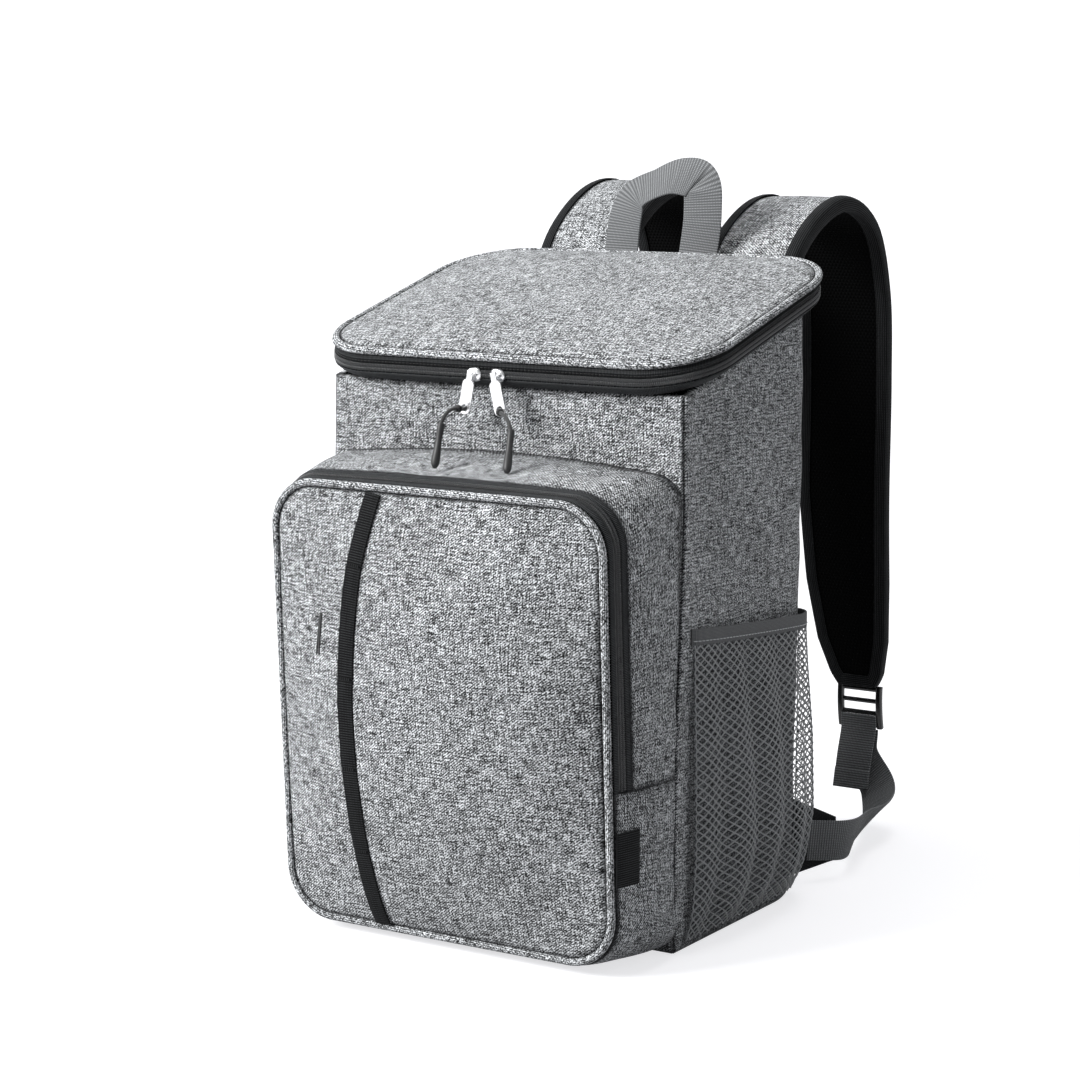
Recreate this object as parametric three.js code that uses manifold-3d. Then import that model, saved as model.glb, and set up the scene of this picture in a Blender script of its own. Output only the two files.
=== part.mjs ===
// A cooler backpack of heather-grey cloth: a foam-walled main compartment under a sloping zipped lid, a stuffed
// front pocket, two net side pockets, two padded shoulder straps and a carry handle.
// Millimetres, +Z up. The origin is the middle of the base on the floor, and the front pocket faces -Y.
import * as THREE from "three";
import { mergeVertices } from "three/addons/utils/BufferGeometryUtils.js";
import Module from "manifold-3d";

// Main compartment
const BODY_WIDTH = 282;
const BODY_DEPTH = 200;
const BODY_WALL = 5;
const FRONT_CORNER = 4;
const REAR_CORNER = 48;

// Lid. Its height is the piping's centre at the front edge.
const LID_FRONT_HEIGHT = 394;
const LID_SLOPE = 15.3;
const LID_SIDE_OVERHANG = 16;
const LID_FRONT_OVERHANG = 14;
const LID_REAR_OVERHANG = 5;
const LID_FRONT_CORNER = 52;
const LID_REAR_CORNER = 56;
const LID_THICKNESS = 6;
const LID_CROWN = 11;

// Zips, piping and cloth edges
const PIPING_RADIUS = 2.7;
const TAPE_THICKNESS = 1.2;
const COIL_WIDTH = 6;
const COIL_THICKNESS = 2.8;
const UPPER_TAPE = 4.5;
const LOWER_TAPE = 9;
const BAND_INSET = 2;
const GAP = 0.3;

// Front pocket. Its depth is from the compartment's front to the piping at mid height.
const POCKET_WIDTH = 264;
const POCKET_BOTTOM = 6;
const POCKET_TOP = 315;
const POCKET_DEPTH = 76;
const POCKET_LEAN = 2.9;
const POCKET_CORNER = 36;
const POCKET_BULGE = 30;
const POCKET_PANEL = 3;
const POCKET_TAPE = 4.2;
const POCKET_ZIP_END = 126;
const ZIP_INSET = 0.6;
const GUSSET_WALL = 2.5;
const GUSSET_TOP = 331;
const GUSSET_TOP_DROP = 9;
const GUSSET_BOTTOM = 8;
const GUSSET_CORNER = 18;
const GUSSET_BULGE = 3;
const GUSSET_SEAM_GAP = 1;

// Webbing strip down the pocket panel
const STRIP_WIDTH = 10;
const STRIP_THICKNESS = 1.3;
const STRIP_OFFSET = -50;
const STRIP_SWAY = 8;
const STRIP_STEPS = 16;

// Bare side tag, sewn in beside the piping
const TAG_WIDTH = 20;
const TAG_HEIGHT = 36;
const TAG_THICKNESS = 1;
const TAG_CENTRE_HEIGHT = 82;

// Net side pockets
const NET_THICKNESS = 1.2;
const NET_FRONT_HEIGHT = 222;
const NET_REAR_HEIGHT = 207;
const NET_BOTTOM = 9;
const NET_FRONT_INSET = 8;
const NET_REAR_TURN = 50;
const NET_BULGE = 20;
const NET_STANDOFF = 1.9;
const NET_ROWS = 7;
const NET_THREAD = 3.4;
const BINDING_HEIGHT = 11;
const BINDING_THICKNESS = 1.6;
const BINDING_STANDOFF = 6.5;
const BINDING_STEPS = 12;

// Padded back panel
const BACK_PAD_THICKNESS = 6;
const BACK_PAD_MARGIN = 8;
const BACK_PAD_BOTTOM = 14;
const BACK_PAD_TOP = 362;
const BACK_PAD_CORNER = 26;
const BACK_PAD_CROWN = 4;

// Shoulder straps
const STRAP_CENTRE = 70;
const STRAP_WIDTH = 74;
const STRAP_PAD = 6;
const STRAP_LINING = 3;
const STRAP_EDGE = 1;
const STRAP_EDGE_FLANGE = 8;
const STRAP_REACH = 168;
const STRAP_ROOT_HEIGHT = 370;
const STRAP_TIP_HEIGHT = 112;
const STRAP_CREST = { right: 488, left: 498 };
const STRAP_STATIONS = 16;

// Webbing, its buckle and its anchor
const WEBBING_WIDTH = 30;
const WEBBING_THICKNESS = 1.4;
const WEBBING_STEPS = 14;
const BUCKLE_WIDTH = 38;
const BUCKLE_LENGTH = 34;
const BUCKLE_THICKNESS = 5;
const BUCKLE_RAIL = 5;
const BUCKLE_SLOT = 6;
const ANCHOR_LENGTH = 44;
const ANCHOR_HEIGHT = 62;
const ANCHOR_THICKNESS = 2.4;
const ANCHOR_BOTTOM = 6;
const ANCHOR_ANGLE = 58;
const TAIL_STEPS = 4;

// Carry handle
const HANDLE_SPAN = 66;
const HANDLE_OFFSET = 0;
const HANDLE_RISE = 68;
const HANDLE_LEAN = 20;
const HANDLE_ROOT_HEIGHT = 440;
const HANDLE_SEAM_SHARE = 0.62;
const HANDLE_STEPS = 20;

// Zip sliders and their pulls
const SLIDER_LENGTH = 10;
const SLIDER_HEIGHT = 8;
const SLIDER_THICKNESS = 2;
const SLIDER_POSITIONS = { left: -14, right: 5 };
const BRIDGE_STANDOFF = 3.4;
const BRIDGE_RADIUS = 0.9;
const BRIDGE_SPAN = 7.2;
const EYE_LENGTH = 3.8;
const EYE_WALL = 0.9;
const EYE_CLEARANCE = 0.4;
const TAB_WIDTH = 8.5;
const TAB_LENGTH = 27;
const TAB_THICKNESS = 1.6;
const TAB_HOLE = 5.4;
const TAB_LEAN = { left: -11, right: 13 };
const CORD_RADIUS = 1.3;
const CORD_SIDES = 8;
const PULL_END_LENGTH = 27;
const PULL_END_RADIUS = 2.9;
const PULL_END_TURN = { left: 0, right: 22 };
const PULL_END_DIP = { left: 74, right: 60 };

// Each pull cord's route from behind its tab's hole to its end piece, as steps across, out and up.
const CORD_ROUTES = {
  left: [
    [0, -3.4, -0.1],
    [0, 0, -0.75],
    [0, 4, -0.6],
    [0, 9, 0.2],
    [0.2, 14.5, 0.4],
    [0.5, 20, -0.6],
    [0.9, 25, -3],
    [1.2, 28.6, -6.2],
    [1.3, 30.4, -9.9],
  ],
  right: [
    [0, -3.4, -0.1],
    [0, 0, -0.75],
    [1.2, 3.6, -0.8],
    [4.6, 7.2, -0.9],
    [9, 10.6, -1.4],
    [13.6, 14, -2.9],
    [17.8, 17.4, -5.4],
    [21, 20.4, -8.8],
    [22.9, 22.3, -12.5],
  ],
};

// Resolution of curves
const CORNER_STEPS = 5;
const EDGE_STEPS = 4;
const CROWN_RINGS = 4;
const ROUND_SIDES = 8;
const PIPING_SIDES = 6;

const wasm = await Module();
wasm.setup();

const HEATHER = new THREE.MeshStandardMaterial({ color: 0x8b8e93, roughness: 0.95 });
const PIPING_CLOTH = new THREE.MeshStandardMaterial({ color: 0x94979b, roughness: 0.9 });
const BLACK_TAPE = new THREE.MeshStandardMaterial({ color: 0x17191c, roughness: 0.85 });
const BLACK_COIL = new THREE.MeshStandardMaterial({ color: 0x101114, roughness: 0.45 });
const GREY_WEBBING = new THREE.MeshStandardMaterial({ color: 0x6d7074, roughness: 0.85 });
const GREY_NET = new THREE.MeshStandardMaterial({ color: 0x6a6d71, roughness: 0.85 });
const AIR_MESH = new THREE.MeshStandardMaterial({ color: 0x0c0d0f, roughness: 0.9 });
const SILVER = new THREE.MeshStandardMaterial({ color: 0xe6e7e9, roughness: 0.25, metalness: 1 });
const BLACK_PLASTIC = new THREE.MeshStandardMaterial({ color: 0x0e0f11, roughness: 0.35 });
const BLACK_RUBBER = new THREE.MeshStandardMaterial({ color: 0x1b1d20, roughness: 0.6 });

const SIDES = { right: 1, left: -1 };
const FRONT = -BODY_DEPTH / 2;
const REAR = BODY_DEPTH / 2;
const ACROSS = new THREE.Vector3(1, 0, 0);
const radians = THREE.MathUtils.degToRad;
const mix = THREE.MathUtils.lerp;

// Solids from rings and faces

// A closed geometry whose faces point outwards.
function solidGeometry(points, faces) {
  const volume = faces.reduce((sum, [a, b, c]) => {
    const cross = new THREE.Vector3().crossVectors(points[b], points[c]);
    return sum + points[a].dot(cross);
  }, 0);
  const order = volume < 0 ? faces.map(([a, b, c]) => [a, c, b]) : faces;
  const geometry = new THREE.BufferGeometry().setFromPoints(points);
  return geometry.setIndex(order.flat());
}

// Triangles across one ring, wound the way the ring runs.
function capFaces(ring) {
  const normal = new THREE.Vector3();
  ring.forEach((p, i) => normal.add(new THREE.Vector3().crossVectors(p, ring[(i + 1) % ring.length])));
  normal.normalize();
  const side = Math.abs(normal.z) < 0.9 ? new THREE.Vector3(0, 0, 1) : ACROSS;
  const u = new THREE.Vector3().crossVectors(side, normal).normalize();
  const v = new THREE.Vector3().crossVectors(normal, u);
  return THREE.ShapeUtils.triangulateShape(ring.map((p) => new THREE.Vector2(p.dot(u), p.dot(v))), []);
}

// A solid through rings of equal point counts. An open stack has a cap on each end, and a loop
// closes on itself.
// The second half of each ring is split along the other diagonal, so that a thin twisted band stays even.
// An end given a tip runs to that point instead of a flat cap.
function skin(rings, loop = false, { firstTip, lastTip } = {}) {
  const count = rings[0].length;
  const last = (rings.length - 1) * count;
  const points = rings.flat();
  const faces = [];
  const links = loop ? rings.length : rings.length - 1;
  for (let i = 0; i < links; i++) {
    const a = i * count;
    const b = ((i + 1) % rings.length) * count;
    for (let j = 0; j < count; j++) {
      const k = (j + 1) % count;
      if (j < count / 2) faces.push([a + j, a + k, b + k], [a + j, b + k, b + j]);
      else faces.push([a + j, a + k, b + j], [a + k, b + k, b + j]);
    }
  }
  if (firstTip) {
    const tip = points.push(firstTip) - 1;
    for (let j = 0; j < count; j++) faces.push([tip, (j + 1) % count, j]);
  } else if (!loop) {
    capFaces(rings[0]).forEach(([p, q, r]) => faces.push([p, r, q]));
  }
  if (lastTip) {
    const tip = points.push(lastTip) - 1;
    for (let j = 0; j < count; j++) faces.push([tip, last + j, last + ((j + 1) % count)]);
  } else if (!loop) {
    capFaces(rings.at(-1)).forEach(([p, q, r]) => faces.push([last + p, last + q, last + r]));
  }
  return solidGeometry(points, faces);
}

// A flat band through stations, each with a centre, a direction across and a normal.
function ribbon(stations, width, thickness) {
  const corners = [
    [-0.5, -0.5],
    [0.5, -0.5],
    [0.5, 0.5],
    [-0.5, 0.5],
  ];
  const rings = stations.map(({ centre, across, normal }) =>
    corners.map(([a, n]) =>
      centre
        .clone()
        .addScaledVector(across, a * width)
        .addScaledVector(normal, n * thickness),
    ),
  );
  return skin(rings);
}

// Stations along a smooth route whose rows give a place and the direction across the band there.
function routeStations(route, steps) {
  const curve = new THREE.CatmullRomCurve3(route.map(({ at }) => at));
  return Array.from({ length: steps + 1 }, (_, i) => {
    const t = i / steps;
    const row = Math.min(Math.floor(t * (route.length - 1)), route.length - 2);
    const tangent = curve.getTangent(t);
    const across = new THREE.Vector3(...route[row].across);
    across.lerp(new THREE.Vector3(...route[row + 1].across), t * (route.length - 1) - row);
    across.addScaledVector(tangent, -across.dot(tangent)).normalize();
    return { centre: curve.getPoint(t), across, normal: new THREE.Vector3().crossVectors(across, tangent) };
  });
}

function toManifold(geometry) {
  const bare = new THREE.BufferGeometry().setAttribute("position", geometry.getAttribute("position"));
  if (geometry.index) bare.setIndex(geometry.index);
  const merged = mergeVertices(bare, 1e-4);
  return new wasm.Manifold(
    new wasm.Mesh({
      numProp: 3,
      vertProperties: merged.attributes.position.array,
      triVerts: new Uint32Array(merged.index.array),
    }),
  );
}

function fromManifold(solid) {
  const mesh = solid.getMesh();
  const geometry = new THREE.BufferGeometry();
  geometry.setAttribute("position", new THREE.BufferAttribute(mesh.vertProperties, mesh.numProp));
  return geometry.setIndex(new THREE.BufferAttribute(mesh.triVerts, 1));
}

function join(first, ...others) {
  return fromManifold(others.reduce((sum, g) => sum.add(toManifold(g)), toManifold(first)));
}

function cut(base, ...tools) {
  return fromManifold(tools.reduce((rest, g) => rest.subtract(toManifold(g)), toManifold(base)));
}

function block(width, depth, height, x, y, z) {
  return new THREE.BoxGeometry(width, depth, height).translate(x, y, z);
}

// A round bar along X
function bar(radius, length, x, y, z) {
  const upright = new THREE.CylinderGeometry(radius, radius, length, ROUND_SIDES);
  return upright.rotateZ(Math.PI / 2).translate(x, y, z);
}

// Outlines

// A rounded rectangle as points with outward normals, anticlockwise from the low edge's left end.
function outline({ half, low, high, lowCorner, highCorner }) {
  const corners = [
    { x: half - lowCorner, y: low + lowCorner, r: lowCorner, from: -90 },
    { x: half - highCorner, y: high - highCorner, r: highCorner, from: 0 },
    { x: -half + highCorner, y: high - highCorner, r: highCorner, from: 90 },
    { x: -half + lowCorner, y: low + lowCorner, r: lowCorner, from: 180 },
  ];
  const arcs = corners.map(({ x, y, r, from }) =>
    Array.from({ length: CORNER_STEPS + 1 }, (_, i) => {
      const angle = radians(from + (90 * i) / CORNER_STEPS);
      const n = new THREE.Vector2(Math.cos(angle), Math.sin(angle));
      return { p: new THREE.Vector2(x, y).addScaledVector(n, r), n };
    }),
  );
  const points = [];
  arcs.forEach((arc, i) => {
    const before = arcs[(i + 3) % 4].at(-1);
    for (let k = 1; k < EDGE_STEPS; k++) {
      points.push({ p: before.p.clone().lerp(arc[0].p, k / EDGE_STEPS), n: arc[0].n.clone() });
    }
    points.push(...arc);
  });
  return points;
}

// Where a corner's arc starts in an outline: 0 low right, 1 high right, 2 high left, 3 low left.
const arcStart = (corner) => (corner + 1) * (EDGE_STEPS - 1) + corner * (CORNER_STEPS + 1);

function between(a, b, share) {
  return { p: a.p.clone().lerp(b.p, share), n: a.n.clone().lerp(b.n, share).normalize() };
}

// A run of stations with both ends drawn in by a length.
function drawnIn(stations, length) {
  const first = between(stations[0], stations[1], length / stations[0].p.distanceTo(stations[1].p));
  const [end, before] = [stations.at(-1), stations.at(-2)];
  const last = between(end, before, length / end.p.distanceTo(before.p));
  return [first, ...stations.slice(1, -1), last];
}

// A band of one section along stations. A section point is a step outwards and a step along the depth.
function bandAlong(stations, section, place, loop = false) {
  const rings = stations.map(({ p, n }) =>
    section.map(([out, depth]) => place(p.x + n.x * out, p.y + n.y * out, depth)),
  );
  return skin(rings, loop);
}

const pipingSection = Array.from({ length: PIPING_SIDES }, (_, i) => {
  const angle = (2 * Math.PI * (i + 0.5)) / PIPING_SIDES;
  return [PIPING_RADIUS * Math.cos(angle), PIPING_RADIUS * Math.sin(angle)];
});

const tapeSection = (out, from, to) => [
  [out, from],
  [out, to],
  [out - TAPE_THICKNESS, to],
  [out - TAPE_THICKNESS, from],
];

function coilSection(out, depth) {
  const shape = [
    [0, 0.5],
    [0.5, 0.3],
    [0.5, -0.3],
    [0, -0.5],
    [-0.5, -0.3],
    [-0.5, 0.3],
  ];
  return shape.map(([t, w]) => [out + t * COIL_THICKNESS, depth + w * COIL_WIDTH]);
}

// Reads one column of a table at a share, with straight steps between its rows.
function readTable(rows, share, column) {
  const next = rows.findIndex((row) => row.share >= share);
  if (next === 0) return rows[0][column];
  if (next < 0) return rows.at(-1)[column];
  const [a, b] = [rows[next - 1], rows[next]];
  return THREE.MathUtils.mapLinear(share, a.share, b.share, a[column], b[column]);
}

// A crowned panel of even thickness inside a closed outline, made of rings that shrink to its middle.
function crownedPanel(edge, centre, height, thickness, place) {
  const turnOf = (i) => (Math.PI / 2) * ((i + 1) / CROWN_RINGS);
  const shares = Array.from({ length: CROWN_RINGS }, (_, i) => Math.sin(turnOf(i)));
  const point = (q, depth) => place(q.x, q.y, height(q.x, q.y) + depth);
  const ring = (share, depth) => edge.map(({ p }) => point(centre.clone().lerp(p, share), depth));
  const top = shares.map((share) => ring(share, 0));
  const under = shares.map((share) => ring(share, -thickness)).reverse();
  const tips = { firstTip: point(centre, 0), lastTip: point(centre, -thickness) };
  return skin([...top, ...under], false, tips);
}

// How high a crown stands, from 1 in the middle to 0 at the sides of its box.
function crownShare(x, half, y, low, high, power) {
  const u = Math.min(Math.abs(x) / half, 1);
  const v = Math.min(Math.abs(y - (low + high) / 2) / ((high - low) / 2), 1);
  return (1 - u ** power) * (1 - v ** power);
}

// Lid plane, and the heights down its edge from the piping to the compartment's rim

const LID_HALF = BODY_WIDTH / 2 + LID_SIDE_OVERHANG;
const LID_FRONT = FRONT - LID_FRONT_OVERHANG;
const LID_REAR = REAR + LID_REAR_OVERHANG;
const BAND_TOP = -(PIPING_RADIUS + GAP);
const COIL_TOP = BAND_TOP - UPPER_TAPE - GAP;
const COIL_BOTTOM = COIL_TOP - COIL_WIDTH;
const LOWER_TAPE_TOP = COIL_BOTTOM - GAP;
const BODY_RIM = LOWER_TAPE_TOP - LOWER_TAPE - GAP;
const ZIP_CORNER_STEP = 3;

const lidHeight = (y) => LID_FRONT_HEIGHT + (y - LID_FRONT) * Math.tan(radians(LID_SLOPE));
const onLid = (x, y, depth) => new THREE.Vector3(x, y, lidHeight(y) + depth);

function lidOutline(inset = 0) {
  return outline({
    half: LID_HALF - inset,
    low: LID_FRONT + inset,
    high: LID_REAR - inset,
    lowCorner: LID_FRONT_CORNER - inset,
    highCorner: LID_REAR_CORNER - inset,
  });
}

// The compartment's rim as the lid's bands meet it, with front corners that follow the lid's.
function rimOutline() {
  return outline({
    half: BODY_WIDTH / 2,
    low: FRONT,
    high: REAR,
    lowCorner: LID_FRONT_CORNER - LID_SIDE_OVERHANG,
    highCorner: REAR_CORNER,
  });
}

// The stations that the lid's zip covers, from one rear corner round the front to the other.
function zipStations(all) {
  const start = arcStart(2) + CORNER_STEPS - ZIP_CORNER_STEP;
  const end = arcStart(1) + ZIP_CORNER_STEP;
  return drawnIn([...all.slice(start), ...all.slice(0, end + 1)], GAP);
}

// The stations behind the zip, where the lid is hinged on cloth.
function hingeStations(all) {
  const start = arcStart(1) + ZIP_CORNER_STEP;
  const end = arcStart(2) + CORNER_STEPS - ZIP_CORNER_STEP;
  return drawnIn(all.slice(start, end + 1), GAP);
}

// Main compartment

// Its form by height: how far the side walls stand out, as a share of its width, and how far the front wall
// stands forward, as a share of its depth.
const BODY_FORM = [
  { share: 0, side: -0.028, front: -0.03 },
  { share: 0.02, side: -0.014, front: 0.004 },
  { share: 0.08, side: -0.008, front: 0.03 },
  { share: 0.4, side: 0, front: 0.042 },
  { share: 0.62, side: 0.004, front: 0.02 },
  { share: 0.8, side: 0.004, front: 0.004 },
  { share: 1, side: 0, front: 0 },
];

const rimHeight = (y) => lidHeight(y) + BODY_RIM;
const frontWall = (z) => FRONT - BODY_DEPTH * readTable(BODY_FORM, z / rimHeight(FRONT), "front");
const sideWall = (share) => BODY_WIDTH / 2 + BODY_WIDTH * readTable(BODY_FORM, share, "side");

function bodyRing(share, inset, floor) {
  const ring = outline({
    half: sideWall(share) - inset,
    low: FRONT - BODY_DEPTH * readTable(BODY_FORM, share, "front") + inset,
    high: REAR - inset,
    lowCorner: Math.max(FRONT_CORNER - inset, 1),
    highCorner: REAR_CORNER - inset,
  });
  return ring.map(({ p }) => new THREE.Vector3(p.x, p.y, Math.max(floor, share * rimHeight(p.y))));
}

function mainShell() {
  const shares = BODY_FORM.map((row) => row.share);
  const outer = shares.map((share) => bodyRing(share, 0, 0));
  const inner = shares.slice(1).map((share) => bodyRing(share, BODY_WALL, BODY_WALL));
  return skin([...outer, ...inner.reverse()]);
}

// Lid, its piping, its zip and its cloth hinge

function lidPanel() {
  const inset = 2 * PIPING_RADIUS + GAP;
  const crown = (x, y) => LID_CROWN * crownShare(x, LID_HALF, y, LID_FRONT, LID_REAR, 3) + PIPING_RADIUS / 2;
  const centre = new THREE.Vector2(0, (LID_FRONT + LID_REAR) / 2);
  return crownedPanel(lidOutline(inset), centre, crown, LID_THICKNESS, onLid);
}

function lidPiping() {
  return bandAlong(lidOutline(PIPING_RADIUS), pipingSection, onLid, true);
}

function lidUpperTape() {
  return bandAlong(zipStations(lidOutline()), tapeSection(-BAND_INSET, BAND_TOP, COIL_TOP + GAP), onLid);
}

function lidCoil() {
  const section = coilSection(-BAND_INSET - COIL_THICKNESS / 2, (COIL_TOP + COIL_BOTTOM) / 2);
  return bandAlong(zipStations(lidOutline()), section, onLid);
}

// The lower tape runs in from under the overhang to the compartment's rim.
function lidLowerTape() {
  const rim = zipStations(rimOutline());
  const rings = zipStations(lidOutline()).map(({ p, n }, i) => {
    const outer = p.clone().addScaledVector(n, -BAND_INSET);
    const inner = rim[i].p.clone().addScaledVector(rim[i].n, -TAPE_THICKNESS);
    return [
      onLid(outer.x, outer.y, LOWER_TAPE_TOP),
      onLid(inner.x, inner.y, BODY_RIM + GAP + TAPE_THICKNESS),
      onLid(inner.x, inner.y, BODY_RIM + GAP),
      onLid(outer.x, outer.y, LOWER_TAPE_TOP - 2 * TAPE_THICKNESS),
    ];
  });
  return skin(rings);
}

function lidHinge() {
  const rim = hingeStations(rimOutline());
  const rings = hingeStations(lidOutline()).map(({ p, n }, i) => {
    const high = p.clone().addScaledVector(n, -BAND_INSET);
    const highInner = high.clone().addScaledVector(n, -TAPE_THICKNESS);
    const low = rim[i].p;
    const lowInner = low.clone().addScaledVector(rim[i].n, -TAPE_THICKNESS);
    return [
      onLid(high.x, high.y, BAND_TOP),
      onLid(low.x, low.y, BODY_RIM + GAP),
      onLid(lowInner.x, lowInner.y, BODY_RIM + GAP),
      onLid(highInner.x, highInner.y, BAND_TOP),
    ];
  });
  return skin(rings);
}

// Front pocket

const POCKET_MIDDLE = (POCKET_BOTTOM + POCKET_TOP) / 2;
const POCKET_HALF = POCKET_WIDTH / 2;
const pocketFront = (z) => FRONT - POCKET_DEPTH - (z - POCKET_MIDDLE) * Math.tan(radians(POCKET_LEAN));
const onPocket = (x, z, depth) => new THREE.Vector3(x, pocketFront(z) - depth, z);

function pocketOutline(inset = 0) {
  return outline({
    half: POCKET_HALF - inset,
    low: POCKET_BOTTOM + inset,
    high: POCKET_TOP - inset,
    lowCorner: POCKET_CORNER - inset,
    highCorner: POCKET_CORNER - inset,
  });
}

// Where the pocket's side band meets the compartment, with a top edge that arches down at both ends.
function seamOutline() {
  const points = outline({
    half: BODY_WIDTH / 2 - GAP,
    low: GUSSET_BOTTOM,
    high: GUSSET_TOP,
    lowCorner: GUSSET_CORNER,
    highCorner: GUSSET_CORNER,
  });
  return points.map(({ p, n }) => {
    const drop = GUSSET_TOP_DROP * (p.x / (BODY_WIDTH / 2)) ** 2 * (p.y / GUSSET_TOP);
    return { p: new THREE.Vector2(p.x, p.y - drop), n };
  });
}

// Pairs of stations on the pocket's front edge and on its seam, over the zip or below its ends.
function pocketPairs(overZip) {
  const seam = seamOutline();
  const pairs = pocketOutline().map((station, i) => ({ front: station, seam: seam[i] }));
  const above = ({ front: { p } }) => p.y > POCKET_ZIP_END;
  const up = pairs.findIndex((pair, i) => !above(pair) && above(pairs[i + 1]));
  const down = pairs.findIndex((pair, i) => i > up && above(pair) && !above(pairs[i + 1]));
  const height = POCKET_ZIP_END + (overZip ? GAP / 2 : -GAP / 2);
  const crossing = (i) => {
    const [a, b] = [pairs[i], pairs[i + 1]];
    const share = (height - a.front.p.y) / (b.front.p.y - a.front.p.y);
    return { front: between(a.front, b.front, share), seam: between(a.seam, b.seam, share) };
  };
  if (overZip) return [crossing(up), ...pairs.slice(up + 1, down + 1), crossing(down)];
  return [crossing(down), ...pairs.slice(down + 1), ...pairs.slice(0, up + 1), crossing(up)];
}

// A point on the pocket's side band, by its depth behind the piping and its distance in from the outer face.
function gussetPoint({ front, seam }, depth, inset) {
  const yFront = pocketFront(front.p.y);
  const ySeam = frontWall(seam.p.y) - GUSSET_SEAM_GAP;
  const share = Math.min(depth / (ySeam - yFront), 1);
  const normal = front.n.clone().lerp(seam.n, share).normalize();
  const q = front.p.clone().lerp(seam.p, share);
  q.addScaledVector(normal, GUSSET_BULGE * Math.sin(Math.PI * share) - inset);
  return new THREE.Vector3(q.x, mix(yFront, ySeam, share), q.y);
}

const FRONT_TAPE = PIPING_RADIUS + GAP;
const FRONT_TAPE_END = FRONT_TAPE + POCKET_TAPE;
const POCKET_COIL = FRONT_TAPE_END + GAP;
const POCKET_COIL_END = POCKET_COIL + COIL_WIDTH;
const REAR_TAPE = POCKET_COIL_END + GAP;
const REAR_TAPE_END = REAR_TAPE + POCKET_TAPE;

function gussetBand(pairs, start) {
  const depths = [start, mix(start, POCKET_DEPTH, 0.35), mix(start, POCKET_DEPTH, 0.7), 2 * POCKET_DEPTH];
  const rings = pairs.map((pair) => [
    ...depths.map((depth) => gussetPoint(pair, depth, 0)),
    ...depths.map((depth) => gussetPoint(pair, depth, GUSSET_WALL)).reverse(),
  ]);
  return skin(rings);
}

const upperGusset = () => gussetBand(pocketPairs(true), REAR_TAPE_END + GAP);
const lowerGusset = () => gussetBand(pocketPairs(false), FRONT_TAPE);

function pocketTape(from, to) {
  const rings = pocketPairs(true).map((pair) => [
    gussetPoint(pair, from, ZIP_INSET),
    gussetPoint(pair, to, ZIP_INSET),
    gussetPoint(pair, to, ZIP_INSET + TAPE_THICKNESS),
    gussetPoint(pair, from, ZIP_INSET + TAPE_THICKNESS),
  ]);
  return skin(rings);
}

function pocketCoil() {
  const section = coilSection(0, (POCKET_COIL + POCKET_COIL_END) / 2);
  const rings = pocketPairs(true).map((pair) =>
    section.map(([out, depth]) => gussetPoint(pair, depth, COIL_THICKNESS / 2 - out)),
  );
  return skin(rings);
}

const pocketPiping = () => bandAlong(pocketOutline(PIPING_RADIUS), pipingSection, onPocket, true);
const panelCrown = (x, z) => POCKET_BULGE * crownShare(x, POCKET_HALF, z, POCKET_BOTTOM, POCKET_TOP, 2.4);

function pocketPanel() {
  const edge = pocketOutline(2 * PIPING_RADIUS + GAP);
  return crownedPanel(edge, new THREE.Vector2(0, POCKET_MIDDLE), panelCrown, POCKET_PANEL, onPocket);
}

// The strip follows the panel's bulge and sways a little to the left at mid height.
function pocketStrip() {
  const inset = 2 * PIPING_RADIUS + 2 * GAP;
  const stations = Array.from({ length: STRIP_STEPS + 1 }, (_, i) => {
    const share = i / STRIP_STEPS;
    const z = mix(POCKET_BOTTOM + inset, POCKET_TOP - inset, share);
    const x = STRIP_OFFSET - STRIP_SWAY * Math.sin(Math.PI * share);
    const centre = onPocket(x, z, panelCrown(x, z) + STRIP_THICKNESS / 2 + 4 * GAP);
    return { centre, across: ACROSS, normal: new THREE.Vector3(0, -1, 0) };
  });
  return ribbon(stations, STRIP_WIDTH, STRIP_THICKNESS);
}

// The bare tag lies on the lower side band, just behind the piping.
function sideTag() {
  const edge = pocketPairs(false).at(-1);
  const rings = [0, 0.5, 1].map((share) => {
    const base = gussetPoint(edge, FRONT_TAPE + TAG_WIDTH * share, 0);
    const corner = (rise, out) => new THREE.Vector3(base.x + GAP + out, base.y, TAG_CENTRE_HEIGHT + rise);
    return [
      corner(-TAG_HEIGHT / 2, 0),
      corner(TAG_HEIGHT / 2, 0),
      corner(TAG_HEIGHT / 2, TAG_THICKNESS),
      corner(-TAG_HEIGHT / 2, TAG_THICKNESS),
    ];
  });
  return skin(rings);
}

// Net side pockets

// How full the net hangs, by height from its hem to its binding.
const NET_FORM = [
  { share: 0, full: 0 },
  { share: 0.1, full: 0.6 },
  { share: 0.3, full: 1 },
  { share: 0.6, full: 0.8 },
  { share: 0.85, full: 0.42 },
  { share: 1, full: 0.25 },
];

// Where the net's threads stand along its run, closer together round the rear corner.
const NET_RUNS = [0, 0.155, 0.31, 0.465, 0.62, 0.775, 0.8875, 1];

// The run of the compartment's side that the net covers, from front to rear at one height.
function sideRun(z) {
  const half = sideWall(z / rimHeight(0));
  const bend = REAR - REAR_CORNER;
  const points = [0, 0.25, 0.5, 0.75].map((share) => ({
    p: new THREE.Vector2(half, mix(FRONT + NET_FRONT_INSET, bend, share)),
    n: new THREE.Vector2(1, 0),
  }));
  for (let i = 0; i <= CORNER_STEPS; i++) {
    const angle = radians((NET_REAR_TURN * i) / CORNER_STEPS);
    const n = new THREE.Vector2(Math.cos(angle), Math.sin(angle));
    points.push({ p: new THREE.Vector2(half - REAR_CORNER, bend).addScaledVector(n, REAR_CORNER), n });
  }
  return points;
}

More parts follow.
